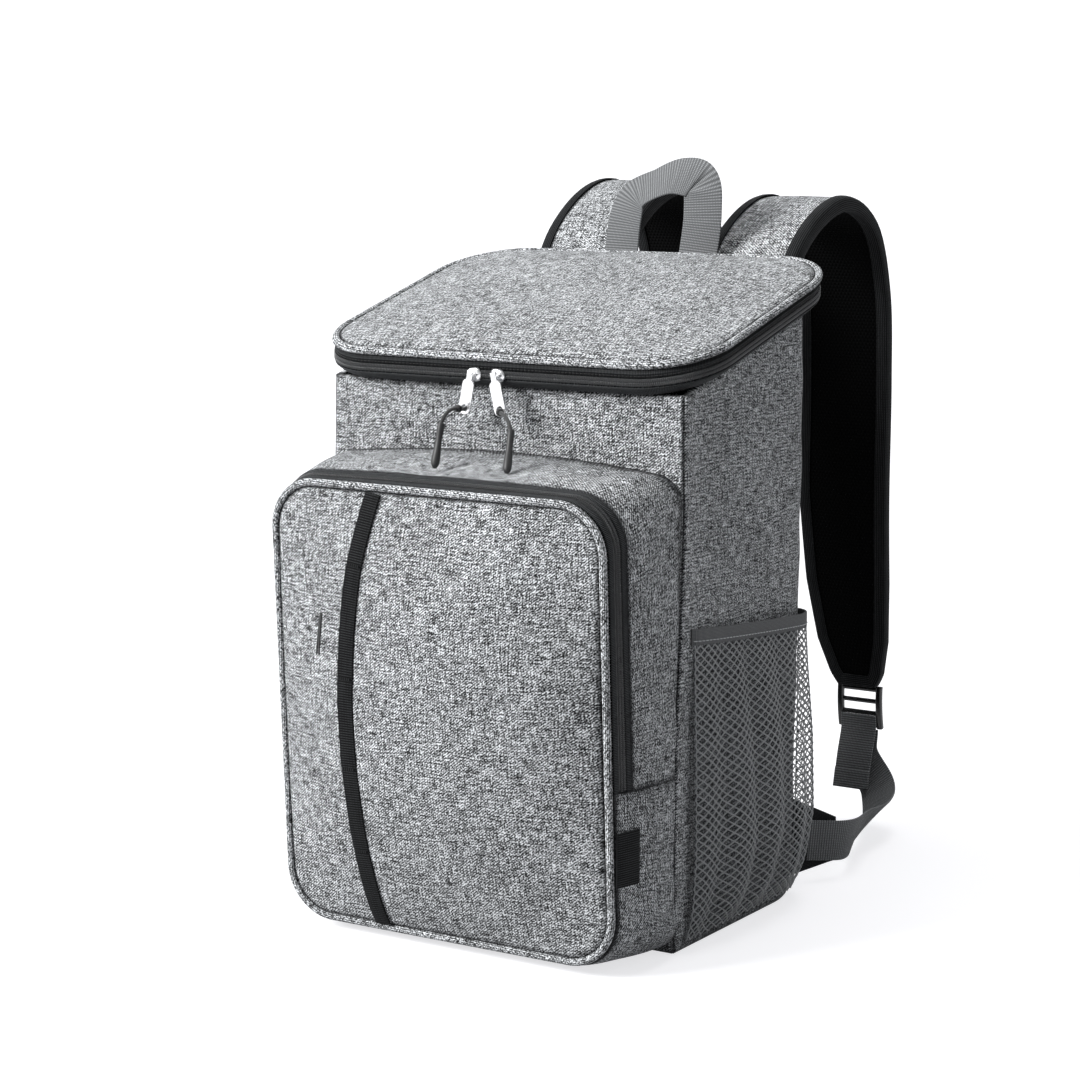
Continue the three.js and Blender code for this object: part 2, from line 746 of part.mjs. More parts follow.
// The station at a share of a run's length.
function alongRun(points, share) {
  const lengths = points.slice(1).map(({ p }, i) => p.distanceTo(points[i].p));
  let left = share * lengths.reduce((sum, length) => sum + length, 0);
  for (let i = 0; i < lengths.length; i++) {
    if (left <= lengths[i]) return between(points[i], points[i + 1], left / lengths[i]);
    left -= lengths[i];
  }
  return points.at(-1);
}

// A point that stands off the compartment's side.
function sidePoint(side, run, z, stand) {
  const { p, n } = alongRun(sideRun(z), run);
  return new THREE.Vector3(side * (p.x + n.x * stand), p.y + n.y * stand, z);
}

const bindingTop = (run) => mix(NET_FRONT_HEIGHT, NET_REAR_HEIGHT, run);
const slack = (run) => Math.sqrt(Math.max(Math.sin(Math.PI * run), 0));

function netPoint(side, run, rise, out) {
  const z = mix(NET_BOTTOM, bindingTop(run) - BINDING_HEIGHT - GAP, rise);
  const bulge = NET_BULGE * readTable(NET_FORM, rise, "full") * slack(run);
  return sidePoint(side, run, z, NET_STANDOFF + bulge + out);
}

// The net as a coarse lattice: each cell is a frame of thread round an open hole.
function sideNet(side) {
  const points = [];
  const faces = [];
  const add = (point) => points.push(point) - 1;
  const quad = (a, b, c, d) => faces.push([a, b, c], [a, c, d]);
  const columns = NET_RUNS.length - 1;
  const grid = [0, NET_THICKNESS].map((out) =>
    Array.from({ length: NET_ROWS + 1 }, (_, r) =>
      NET_RUNS.map((run) => add(netPoint(side, run, r / NET_ROWS, out))),
    ),
  );
  const hole = (corners) => {
    const centre = corners.reduce((sum, k) => sum.add(points[k]), new THREE.Vector3()).divideScalar(4);
    return corners.map((k) => {
      const reach = points[k].distanceTo(centre);
      return add(points[k].clone().lerp(centre, Math.min(NET_THREAD / reach, 0.8)));
    });
  };
  for (let r = 0; r < NET_ROWS; r++) {
    for (let c = 0; c < columns; c++) {
      const cellOf = (layer) => [layer[r][c], layer[r][c + 1], layer[r + 1][c + 1], layer[r + 1][c]];
      const [inner, outer] = grid.map(cellOf);
      const [innerHole, outerHole] = [hole(inner), hole(outer)];
      for (let k = 0; k < 4; k++) {
        const m = (k + 1) % 4;
        quad(outer[k], outer[m], outerHole[m], outerHole[k]);
        quad(inner[m], inner[k], innerHole[k], innerHole[m]);
        quad(outerHole[k], outerHole[m], innerHole[m], innerHole[k]);
      }
    }
  }
  const rim = [];
  for (let c = 0; c < columns; c++) rim.push([0, c]);
  for (let r = 0; r < NET_ROWS; r++) rim.push([r, columns]);
  for (let c = columns; c > 0; c--) rim.push([NET_ROWS, c]);
  for (let r = NET_ROWS; r > 0; r--) rim.push([r, 0]);
  rim.forEach(([r, c], i) => {
    const [r2, c2] = rim[(i + 1) % rim.length];
    quad(grid[0][r][c], grid[0][r2][c2], grid[1][r2][c2], grid[1][r][c]);
  });
  return solidGeometry(points, faces);
}

function netBinding(side) {
  const rings = Array.from({ length: BINDING_STEPS + 1 }, (_, i) => {
    const run = i / BINDING_STEPS;
    const top = bindingTop(run);
    const stand = 2 * GAP + BINDING_STANDOFF * slack(run);
    return [
      sidePoint(side, run, top - BINDING_HEIGHT, stand),
      sidePoint(side, run, top, stand),
      sidePoint(side, run, top, stand + BINDING_THICKNESS),
      sidePoint(side, run, top - BINDING_HEIGHT, stand + BINDING_THICKNESS),
    ];
  });
  return skin(rings);
}

// Back panel

function backPanel() {
  const half = BODY_WIDTH / 2 - REAR_CORNER - BACK_PAD_MARGIN;
  const edge = outline({
    half,
    low: BACK_PAD_BOTTOM,
    high: BACK_PAD_TOP,
    lowCorner: BACK_PAD_CORNER,
    highCorner: BACK_PAD_CORNER,
  });
  const centre = new THREE.Vector2(0, (BACK_PAD_BOTTOM + BACK_PAD_TOP) / 2);
  const point = (q, thickness) => new THREE.Vector3(q.x, REAR + GAP + thickness(q), q.y);
  const ring = (share, thickness) => edge.map(({ p }) => point(centre.clone().lerp(p, share), thickness));
  const crown = (q) =>
    BACK_PAD_THICKNESS + BACK_PAD_CROWN * crownShare(q.x, half, q.y, BACK_PAD_BOTTOM, BACK_PAD_TOP, 3);
  const face = [0.4, 0.75, 0.95].map((share) => ring(share, crown));
  const rim = [ring(1, () => BACK_PAD_THICKNESS / 2), ring(1, () => 0)];
  return skin([...face, ...rim], false, { firstTip: point(centre, crown) });
}

// Shoulder straps

// The strap's centre line climbs from its root to its crest, then falls to its tip.
const STRAP_CLIMB = [
  { reach: 0, rise: 0 },
  { reach: 0, rise: 0.36 },
  { reach: 0.09, rise: 0.68 },
  { reach: 0.34, rise: 0.93 },
];
const STRAP_FALL = [
  { reach: 0.6, fall: 0 },
  { reach: 0.84, fall: 0.05 },
  { reach: 0.97, fall: 0.18 },
  { reach: 1, fall: 0.36 },
  { reach: 1, fall: 0.62 },
  { reach: 1.03, fall: 0.85 },
  { reach: 1.06, fall: 1 },
];
// Its half width and its shift outwards as shares of its width, and the fullness of its padding, by a share of
// its length.
const STRAP_OUTLINE = [
  { share: 0, half: 0.5, shift: 0, pad: 1 },
  { share: 0.74, half: 0.5, shift: 0, pad: 1 },
  { share: 0.86, half: 0.46, shift: 0.04, pad: 1 },
  { share: 0.94, half: 0.39, shift: 0.09, pad: 1 },
  { share: 0.985, half: 0.29, shift: 0.13, pad: 1 },
  { share: 1, half: 0.22, shift: 0.14, pad: 0.5 },
];
const STRAP_STANDOFF = STRAP_PAD + 2 * STRAP_EDGE + 3 * GAP;

function strapCurve(name) {
  const crest = STRAP_CREST[name];
  const at = (reach, z) => new THREE.Vector3(0, REAR + STRAP_STANDOFF + STRAP_REACH * reach, z);
  return new THREE.CatmullRomCurve3([
    ...STRAP_CLIMB.map(({ reach, rise }) => at(reach, mix(STRAP_ROOT_HEIGHT, crest, rise))),
    ...STRAP_FALL.map(({ reach, fall }) => at(reach, mix(crest, STRAP_TIP_HEIGHT, fall))),
  ]);
}

// Places a point on a strap: along its centre line, across it, and out from its middle surface.
function strapPlace(name) {
  const curve = strapCurve(name);
  const length = curve.getLength();
  return (along, sideways, out) => {
    const share = THREE.MathUtils.clamp(along / length, 0, 1);
    const tangent = curve.getTangentAt(share);
    const point = curve.getPointAt(share).addScaledVector(tangent, along - share * length);
    point.addScaledVector(new THREE.Vector3().crossVectors(ACROSS, tangent), out);
    return point.setX(SIDES[name] * (STRAP_CENTRE + sideways));
  };
}

function strapStations(name) {
  const length = strapCurve(name).getLength();
  const shares = Array.from({ length: STRAP_STATIONS }, (_, i) => i / STRAP_STATIONS);
  return [...shares, 0.985, 1].map((share) => ({
    along: share * length,
    half: STRAP_WIDTH * readTable(STRAP_OUTLINE, share, "half") - STRAP_EDGE,
    shift: STRAP_WIDTH * readTable(STRAP_OUTLINE, share, "shift"),
    pad: STRAP_PAD * readTable(STRAP_OUTLINE, share, "pad"),
  }));
}

function strapSolid(name, section) {
  const place = strapPlace(name);
  const rings = strapStations(name).map((station) =>
    section(station).map(([sideways, out]) => place(station.along, station.shift + sideways, out)),
  );
  return skin(rings);
}

function strapPad(name) {
  return strapSolid(name, ({ half, pad }) => {
    const flat = half - STRAP_EDGE_FLANGE - STRAP_EDGE;
    return [
      [-half, GAP / 2],
      [half, GAP / 2],
      [half, STRAP_PAD / 2],
      [flat, pad],
      [-flat, pad],
      [-half, STRAP_PAD / 2],
    ];
  });
}

function strapLining(name) {
  return strapSolid(name, ({ half }) => [
    [-half, -STRAP_LINING],
    [half, -STRAP_LINING],
    [half, -GAP / 2],
    [-half, -GAP / 2],
  ]);
}

// The bound edge: a folded tape that grips both faces, down one side, round the tip and up the other.
function strapBinding(name) {
  const place = strapPlace(name);
  const stations = strapStations(name);
  const left = stations.map(({ along, half, shift }) => new THREE.Vector2(along, shift - half));
  const right = stations.map(({ along, half, shift }) => new THREE.Vector2(along, shift + half));
  const edge = [...left, ...right.reverse()];
  const face = STRAP_PAD + GAP;
  const shoulder = STRAP_PAD / 2 + 2 * GAP;
  const under = -STRAP_LINING - GAP;
  const section = [
    [-STRAP_EDGE_FLANGE, face],
    [GAP, shoulder],
    [GAP, under],
    [-STRAP_EDGE_FLANGE, under],
    [-STRAP_EDGE_FLANGE, under - STRAP_EDGE],
    [GAP + STRAP_EDGE, under - STRAP_EDGE],
    [GAP + STRAP_EDGE, shoulder + STRAP_EDGE],
    [-STRAP_EDGE_FLANGE, face + STRAP_EDGE],
  ];
  const rings = edge.map((p, i) => {
    const before = edge[Math.max(i - 1, 0)];
    const after = edge[Math.min(i + 1, edge.length - 1)];
    const run = after.clone().sub(before).normalize();
    return section.map(([out, n]) => place(p.x + run.y * out, p.y - run.x * out, n));
  });
  return skin(rings);
}

// Webbing, buckle and anchor at each lower corner

// The anchor is a flat tab that stands out of the rear corner's seam.
function anchorFrame(name) {
  const angle = radians(ANCHOR_ANGLE);
  const out = new THREE.Vector3(SIDES[name] * Math.cos(angle), Math.sin(angle), 0);
  const normal = new THREE.Vector3(SIDES[name] * Math.sin(angle), -Math.cos(angle), 0);
  const half = sideWall(ANCHOR_HEIGHT / 2 / rimHeight(0));
  const root = new THREE.Vector3(SIDES[name] * (half - REAR_CORNER), REAR - REAR_CORNER, 0);
  return { out, normal, root: root.addScaledVector(out, REAR_CORNER + 2 * GAP) };
}

function anchorTab(name) {
  const { out, normal, root } = anchorFrame(name);
  const shape = [
    [0, 0],
    [1, 0.14],
    [1, 0.66],
    [0, 1],
  ];
  const ring = (n) =>
    shape.map(([u, v]) => {
      const point = root.clone().addScaledVector(out, u * ANCHOR_LENGTH).addScaledVector(normal, n);
      return point.setZ(ANCHOR_BOTTOM + v * ANCHOR_HEIGHT);
    });
  return skin([ring(-ANCHOR_THICKNESS / 2), ring(ANCHOR_THICKNESS / 2)]);
}

// The buckle hangs off the strap's tip, along the strap's own line.
function buckleFrame(name) {
  const place = strapPlace(name);
  const start = strapCurve(name).getLength() + STRAP_EDGE + 3 * GAP + BUCKLE_LENGTH / 2;
  const shift = STRAP_WIDTH * readTable(STRAP_OUTLINE, 1, "shift");
  const centre = place(start, shift, STRAP_PAD / 2);
  const down = place(start + 1, shift, STRAP_PAD / 2).sub(centre).normalize();
  return { centre, down };
}

function ladderBuckle(name) {
  const { centre, down } = buckleFrame(name);
  const frame = new THREE.BoxGeometry(BUCKLE_WIDTH, BUCKLE_THICKNESS, BUCKLE_LENGTH);
  const pitch = (BUCKLE_LENGTH - BUCKLE_RAIL) / 3;
  const slots = [-1, 0, 1].map((step) =>
    block(BUCKLE_WIDTH - 2 * BUCKLE_RAIL, 2 * BUCKLE_THICKNESS, BUCKLE_SLOT, 0, 0, step * pitch),
  );
  const up = down.clone().negate();
  const back = new THREE.Vector3().crossVectors(up, ACROSS);
  const basis = new THREE.Matrix4().makeBasis(ACROSS, back, up);
  return cut(frame, ...slots).applyMatrix4(basis.setPosition(centre));
}

// The webbing's loose bend. A row gives shares of the way from the anchor to the buckle, across and back, its
// height as a share of the webbing's width, and the direction across the band on the right side.
const WEBBING_BEND = [
  { over: 0.29, back: 0.42, rise: 0.733, across: [0.4, 0.2, 0.9] },
  { over: 0.442, back: 0.72, rise: 0.733, across: [0.7, 0, 0.6] },
  { over: 0.686, back: 0.93, rise: 1.1, across: [1, -0.2, 0.2] },
  { over: 1, back: 1, rise: 1.833, across: [1, 0, 0] },
];

// The webbing runs from its anchor out, round a loose bend and up to the buckle.
function strapWebbing(name) {
  const side = SIDES[name];
  const { out, normal, root } = anchorFrame(name);
  const { centre, down } = buckleFrame(name);
  const lift = ANCHOR_THICKNESS / 2 + WEBBING_THICKNESS / 2 + GAP;
  const start = root.clone().addScaledVector(out, ANCHOR_LENGTH * 0.45).addScaledVector(normal, lift);
  start.z = ANCHOR_BOTTOM + ANCHOR_HEIGHT * 0.42;
  const leave = start.clone().addScaledVector(out, ANCHOR_LENGTH * 0.7);
  const end = centre.clone().addScaledVector(down, BUCKLE_LENGTH / 2 + 4 * GAP);
  leave.setZ(WEBBING_WIDTH * 0.967);
  const bend = WEBBING_BEND.map(({ over, back, rise, across: [x, y, z] }) => ({
    at: new THREE.Vector3(mix(leave.x, end.x, over), mix(leave.y, end.y, back), WEBBING_WIDTH * rise),
    across: [side * x, y, z],
  }));
  const route = [
    { at: start, across: [0, 0, 1] },
    { at: leave, across: [0.1 * side, 0.1, 1] },
    ...bend,
    { at: end, across: [side, 0, 0] },
  ];
  return ribbon(routeStations(route, WEBBING_STEPS), WEBBING_WIDTH, WEBBING_THICKNESS);
}

// The webbing's free end lies on the buckle's front and hangs from there. A row is a step down and
// forwards from the face.
const TAIL_ROUTE = [
  [6, 0],
  [16, 0],
  [38, 9],
  [62, 17],
];

function webbingTail(name) {
  const { centre, down } = buckleFrame(name);
  const forward = new THREE.Vector3().crossVectors(down, ACROSS);
  const stand = BUCKLE_THICKNESS / 2 + 2 * GAP + WEBBING_THICKNESS / 2;
  const route = TAIL_ROUTE.map(([drop, out]) => ({
    at: centre.clone().addScaledVector(down, drop).addScaledVector(forward, stand + out),
    across: [SIDES[name], 0, 0],
  }));
  return ribbon(routeStations(route, TAIL_STEPS), WEBBING_WIDTH, WEBBING_THICKNESS);
}

// Carry handle: a loop of webbing that turns its width from across at the legs to front-to-back at the crown.
// Rows below the lid's rear edge have a drop instead of a rise, as a share of the way down to the roots.
const HANDLE_FORM = [
  { span: -0.485, rise: 0, drop: 1, lean: 0, across: [-1, 0, 0] },
  { span: -0.485, rise: 0, drop: 0, lean: 0.3, across: [-1, 0.1, 0] },
  { span: -0.455, rise: 0.384, drop: 0, lean: 0.45, across: [-1, 0.15, 0.05] },
  { span: -0.38, rise: 0.6, drop: 0, lean: 0.58, across: [-0.87, 0.35, 0.35] },
  { span: -0.13, rise: 0.74, drop: 0, lean: 0.72, across: [-0.4, 0.6, 0.6] },
  { span: 0.165, rise: 0.83, drop: 0, lean: 0.76, across: [0.07, 0.53, 0.85] },
  { span: 0.45, rise: 0.77, drop: 0, lean: 0.66, across: [0.6, 0.2, 0.78] },
  { span: 0.52, rise: 0.45, drop: 0, lean: 0.48, across: [1, 0.1, 0.15] },
  { span: 0.49, rise: 0, drop: 0, lean: 0.3, across: [1, 0.1, 0] },
  { span: 0.485, rise: 0, drop: 1, lean: 0, across: [1, 0, 0] },
];

function carryHandle() {
  const edge = lidHeight(LID_REAR);
  const stand = (LID_REAR_OVERHANG - BAND_INSET) * HANDLE_SEAM_SHARE + GAP + WEBBING_THICKNESS / 2;
  const route = HANDLE_FORM.map(({ span, rise, drop, lean, across }) => {
    const z = edge + rise * HANDLE_RISE - drop * (edge - HANDLE_ROOT_HEIGHT);
    const at = new THREE.Vector3(HANDLE_OFFSET + span * HANDLE_SPAN, REAR + stand + lean * HANDLE_LEAN, z);
    return { at, across };
  });
  return ribbon(routeStations(route, HANDLE_STEPS), WEBBING_WIDTH, WEBBING_THICKNESS);
}

// Zip sliders and pulls on the lid's front edge

const SLIDER_Z = lidHeight(LID_FRONT) + (COIL_TOP + COIL_BOTTOM) / 2;
const SLIDER_Y = LID_FRONT + BAND_INSET - GAP - SLIDER_THICKNESS / 2;
const BRIDGE_Y = SLIDER_Y - SLIDER_THICKNESS / 2 - BRIDGE_STANDOFF;

function zipSlider(name) {
  const x = SLIDER_POSITIONS[name];
  const plate = block(SLIDER_LENGTH, SLIDER_THICKNESS, SLIDER_HEIGHT, x, SLIDER_Y, SLIDER_Z);
  const rail = bar(BRIDGE_RADIUS, BRIDGE_SPAN, x, BRIDGE_Y, SLIDER_Z);
  const reach = BRIDGE_STANDOFF + SLIDER_THICKNESS / 2;
  const posts = [-1, 1].map((end) => {
    const postX = x + (end * (BRIDGE_SPAN - BRIDGE_RADIUS)) / 2;
    return block(BRIDGE_RADIUS, reach, 2 * BRIDGE_RADIUS - GAP, postX, SLIDER_Y - reach / 2, SLIDER_Z);
  });
  return join(plate, rail, ...posts);
}

// The pull tab hangs from the bridge by a round eye, and its round end has a hole.
function pullTab(name) {
  const eye = BRIDGE_RADIUS + EYE_CLEARANCE + EYE_WALL;
  const half = TAB_WIDTH / 2;
  const neck = EYE_LENGTH / 2;
  const shoulder = -eye - half * 0.7;
  const shape = new THREE.Shape();
  shape.moveTo(-neck, 0);
  shape.lineTo(-neck, -eye - EYE_WALL);
  shape.lineTo(-half, shoulder);
  shape.lineTo(-half, -TAB_LENGTH + half);
  shape.absarc(0, -TAB_LENGTH + half, half, Math.PI, 2 * Math.PI);
  shape.lineTo(half, shoulder);
  shape.lineTo(neck, -eye - EYE_WALL);
  shape.lineTo(neck, 0);
  shape.holes.push(new THREE.Path().absarc(0, -TAB_LENGTH + half, TAB_HOLE / 2, 0, 2 * Math.PI, true));
  const options = { depth: TAB_THICKNESS, bevelEnabled: false, curveSegments: 6 };
  const plate = new THREE.ExtrudeGeometry(shape, options);
  plate.translate(0, 0, -TAB_THICKNESS / 2).rotateX(Math.PI / 2).rotateY(radians(-TAB_LEAN[name]));
  const barrel = bar(eye, EYE_LENGTH, 0, 0, 0);
  const bore = bar(BRIDGE_RADIUS + EYE_CLEARANCE, 3 * EYE_LENGTH, 0, 0, 0);
  return cut(join(plate, barrel), bore).translate(SLIDER_POSITIONS[name], BRIDGE_Y, SLIDER_Z);
}

function cordPoints(name) {
  const reach = TAB_LENGTH - TAB_WIDTH / 2;
  const lean = radians(TAB_LEAN[name]);
  const x = SLIDER_POSITIONS[name] + reach * Math.sin(lean);
  const z = SLIDER_Z - reach * Math.cos(lean);
  return CORD_ROUTES[name].map(([across, out, up]) => new THREE.Vector3(x + across, BRIDGE_Y - out, z + up));
}

function pullCord(name) {
  const section = new THREE.Shape(
    Array.from({ length: CORD_SIDES }, (_, i) => {
      const angle = (2 * Math.PI * i) / CORD_SIDES;
      return new THREE.Vector2(CORD_RADIUS * Math.cos(angle), CORD_RADIUS * Math.sin(angle));
    }),
  );
  const points = cordPoints(name);
  const extrudePath = new THREE.CatmullRomCurve3(points);
  return new THREE.ExtrudeGeometry(section, { steps: points.length - 1, extrudePath });
}

// The cord's moulded end stands on top of the pocket, its axis dipping steeply forwards.
function pullEnd(name) {
  const r = PULL_END_RADIUS;
  const profile = [
    [0, 0],
    [r * 0.8, 0],
    [r * 0.85, PULL_END_LENGTH * 0.3],
    [r, PULL_END_LENGTH * 0.75],
    [r * 0.9, PULL_END_LENGTH * 0.92],
    [r * 0.5, PULL_END_LENGTH],
    [0, PULL_END_LENGTH],
  ];
  const body = new THREE.LatheGeometry(profile.map(([x, y]) => new THREE.Vector2(x, y)), ROUND_SIDES);
  const dip = radians(PULL_END_DIP[name]);
  const direction = new THREE.Vector3(0, -Math.cos(dip), -Math.sin(dip));
  direction.applyAxisAngle(new THREE.Vector3(0, 0, 1), radians(PULL_END_TURN[name]));
  const turn = new THREE.Quaternion().setFromUnitVectors(new THREE.Vector3(0, 1, 0), direction);
  const start = cordPoints(name).at(-1).addScaledVector(direction, 3 * GAP);
  return body.applyQuaternion(turn).translate(start.x, start.y, start.z);
}

// Assembly

const backpack = new THREE.Group();

function piece(name, geometry, material) {
  const mesh = new THREE.Mesh(geometry, material);
  mesh.name = name;
  backpack.add(mesh);
}

piece("body_shell", mainShell(), HEATHER);
piece("lid_panel", lidPanel(), HEATHER);
piece("lid_piping", lidPiping(), PIPING_CLOTH);
piece("lid_hinge", lidHinge(), HEATHER);
piece("lid_zip_upper_tape", lidUpperTape(), BLACK_TAPE);
piece("lid_zip_coil", lidCoil(), BLACK_COIL);
piece("lid_zip_lower_tape", lidLowerTape(), BLACK_TAPE);
piece("pocket_panel", pocketPanel(), HEATHER);
piece("pocket_piping", pocketPiping(), PIPING_CLOTH);
piece("pocket_zip_front_tape", pocketTape(FRONT_TAPE, FRONT_TAPE_END), BLACK_TAPE);
piece("pocket_zip_coil", pocketCoil(), BLACK_COIL);
piece("pocket_zip_rear_tape", pocketTape(REAR_TAPE, REAR_TAPE_END), BLACK_TAPE);
piece("pocket_upper_gusset", upperGusset(), HEATHER);
piece("pocket_lower_gusset", lowerGusset(), HEATHER);
piece("pocket_webbing_strip", pocketStrip(), BLACK_TAPE);
piece("side_tag", sideTag(), BLACK_TAPE);
piece("back_panel", backPanel(), AIR_MESH);
piece("carry_handle", carryHandle(), GREY_WEBBING);

for (const [name, side] of Object.entries(SIDES)) {
  piece(`net_pocket_${name}`, sideNet(side), GREY_NET);
  piece(`net_binding_${name}`, netBinding(side), GREY_WEBBING);
  piece(`strap_pad_${name}`, strapPad(name), HEATHER);
  piece(`strap_lining_${name}`, strapLining(name), AIR_MESH);
  piece(`strap_binding_${name}`, strapBinding(name), BLACK_TAPE);
  piece(`ladder_buckle_${name}`, ladderBuckle(name), BLACK_PLASTIC);
  piece(`strap_webbing_${name}`, strapWebbing(name), GREY_WEBBING);
  piece(`webbing_tail_${name}`, webbingTail(name), GREY_WEBBING);
  piece(`webbing_anchor_${name}`, anchorTab(name), BLACK_TAPE);
  piece(`zip_slider_${name}`, zipSlider(name), SILVER);
  piece(`pull_tab_${name}`, pullTab(name), SILVER);
  piece(`pull_cord_${name}`, pullCord(name), BLACK_RUBBER);
  piece(`pull_end_${name}`, pullEnd(name), BLACK_RUBBER);
}

export default backpack;
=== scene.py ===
# Looks for the cooler backpack: the same forms as the CAD at cloth resolution, with their materials.
# Lengths are in millimetres until a mesh is made, and then in metres.
import math

import bmesh
import bpy
import numpy as np
from mathutils import Matrix


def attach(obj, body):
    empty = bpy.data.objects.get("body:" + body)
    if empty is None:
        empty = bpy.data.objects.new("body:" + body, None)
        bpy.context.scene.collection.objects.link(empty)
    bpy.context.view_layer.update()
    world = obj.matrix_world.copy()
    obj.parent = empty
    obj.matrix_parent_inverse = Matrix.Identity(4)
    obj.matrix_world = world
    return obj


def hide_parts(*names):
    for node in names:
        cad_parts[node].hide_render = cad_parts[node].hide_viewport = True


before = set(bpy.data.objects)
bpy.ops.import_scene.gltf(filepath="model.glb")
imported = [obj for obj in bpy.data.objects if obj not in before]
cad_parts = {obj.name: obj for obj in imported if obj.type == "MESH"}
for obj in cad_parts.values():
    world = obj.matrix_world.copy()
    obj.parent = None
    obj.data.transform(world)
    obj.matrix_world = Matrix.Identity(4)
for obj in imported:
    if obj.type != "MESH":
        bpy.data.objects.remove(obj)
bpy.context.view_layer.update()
scene = bpy.context.scene
MM = 0.001
SIDES = {"right": 1, "left": -1}
ACROSS = np.array([1.0, 0.0, 0.0])

# Camera, fitted to the photograph
camera_data = bpy.data.cameras.new("camera")
camera_data.lens = 93.33
camera_data.sensor_width = 36
camera_data.clip_end = 50
camera = bpy.data.objects.new("camera", camera_data)
scene.collection.objects.link(camera)
camera.matrix_world = Matrix((
    (0.8436, -0.0827, 0.5306, 1.0281),
    (0.5370, 0.1298, -0.8334, -1.6674),
    (0.0, 0.9881, 0.1539, 0.5622),
    (0, 0, 0, 1),
))
scene.camera = camera
scene.view_settings.view_transform = "Standard"


# Vectors and curves

def unit(v):
    return v / np.maximum(np.linalg.norm(v, axis=-1, keepdims=True), 1e-12)


def mix(a, b, t):
    return a + (b - a) * t


def read(rows, x, column):
    # A column of a table, eased between its rows.
    xs = [row[0] for row in rows]
    ys = [row[column] for row in rows]
    offsets = (-0.03, -0.015, 0.0, 0.015, 0.03)
    return sum(np.interp(x + step, xs, ys) for step in offsets) / len(offsets)


def catmull(points, t):
    # A centripetal curve through points, at shares of its number of spans.
    points = np.asarray(points, float)
    last = len(points) - 1
    padded = np.vstack([2 * points[0] - points[1], points, 2 * points[-1] - points[-2]])
    spot = np.clip(np.asarray(t, float), 0, 1) * last
    i = np.minimum(np.floor(spot).astype(int), last - 1)
    w = (spot - i)[:, None]
    p0, p1, p2, p3 = padded[i], padded[i + 1], padded[i + 2], padded[i + 3]
    d0, d1, d2 = (np.maximum(np.linalg.norm(b - a, axis=1) ** 0.5, 1e-4)[:, None]
                  for a, b in ((p0, p1), (p1, p2), (p2, p3)))
    t1 = ((p1 - p0) / d0 - (p2 - p0) / (d0 + d1) + (p2 - p1) / d1) * d1
    t2 = ((p2 - p1) / d1 - (p3 - p1) / (d1 + d2) + (p3 - p2) / d2) * d1
    c2 = -3 * p1 + 3 * p2 - 2 * t1 - t2
    c3 = 2 * p1 - 2 * p2 + t1 + t2
    return p1 + t1 * w + c2 * w ** 2 + c3 * w ** 3


def lengths_of(path):
    steps = np.linalg.norm(np.diff(path, axis=0), axis=1)
    return np.concatenate([[0], np.cumsum(steps)])


def resample(path, at, *others):
    # Points of a path, and of values along it, at distances from its start.
    s = lengths_of(path)
    rows = [path, *others]
    return [np.stack([np.interp(at, s, row[:, k]) for k in range(row.shape[1])], 1) for row in rows]


def waves(u, v, size, seed, count=9):
    # Smooth unevenness of cloth, of about one in height.
    source = np.random.default_rng(seed)
    total = np.zeros(np.broadcast(u, v).shape)
    for _ in range(count):
        angle, phase = source.uniform(0, 2 * math.pi, 2)
        turn = 2 * math.pi / (size * source.uniform(0.6, 1.7))
        total = total + np.sin(turn * (u * math.cos(angle) + v * math.sin(angle)) + phase)
    return total / math.sqrt(count)


def crease(u, v, start, end, width, depth):
    # A soft groove from one point to another, with a slight ridge beside it.
    start, end = np.array(start, float), np.array(end, float)
    run = end - start
    length = np.linalg.norm(run)
    du, dv = u - start[0], v - start[1]
    along = (du * run[0] + dv * run[1]) / length ** 2
    off = (dv * run[0] - du * run[1]) / length
    fade = np.exp(-(np.maximum(np.abs(along - 0.5) - 0.32, 0) / 0.16) ** 2)
    groove = -np.exp(-(off / width) ** 2) + 0.55 * np.exp(-((off - 1.7 * width) / width) ** 2)
    return depth * groove * fade


# Meshes

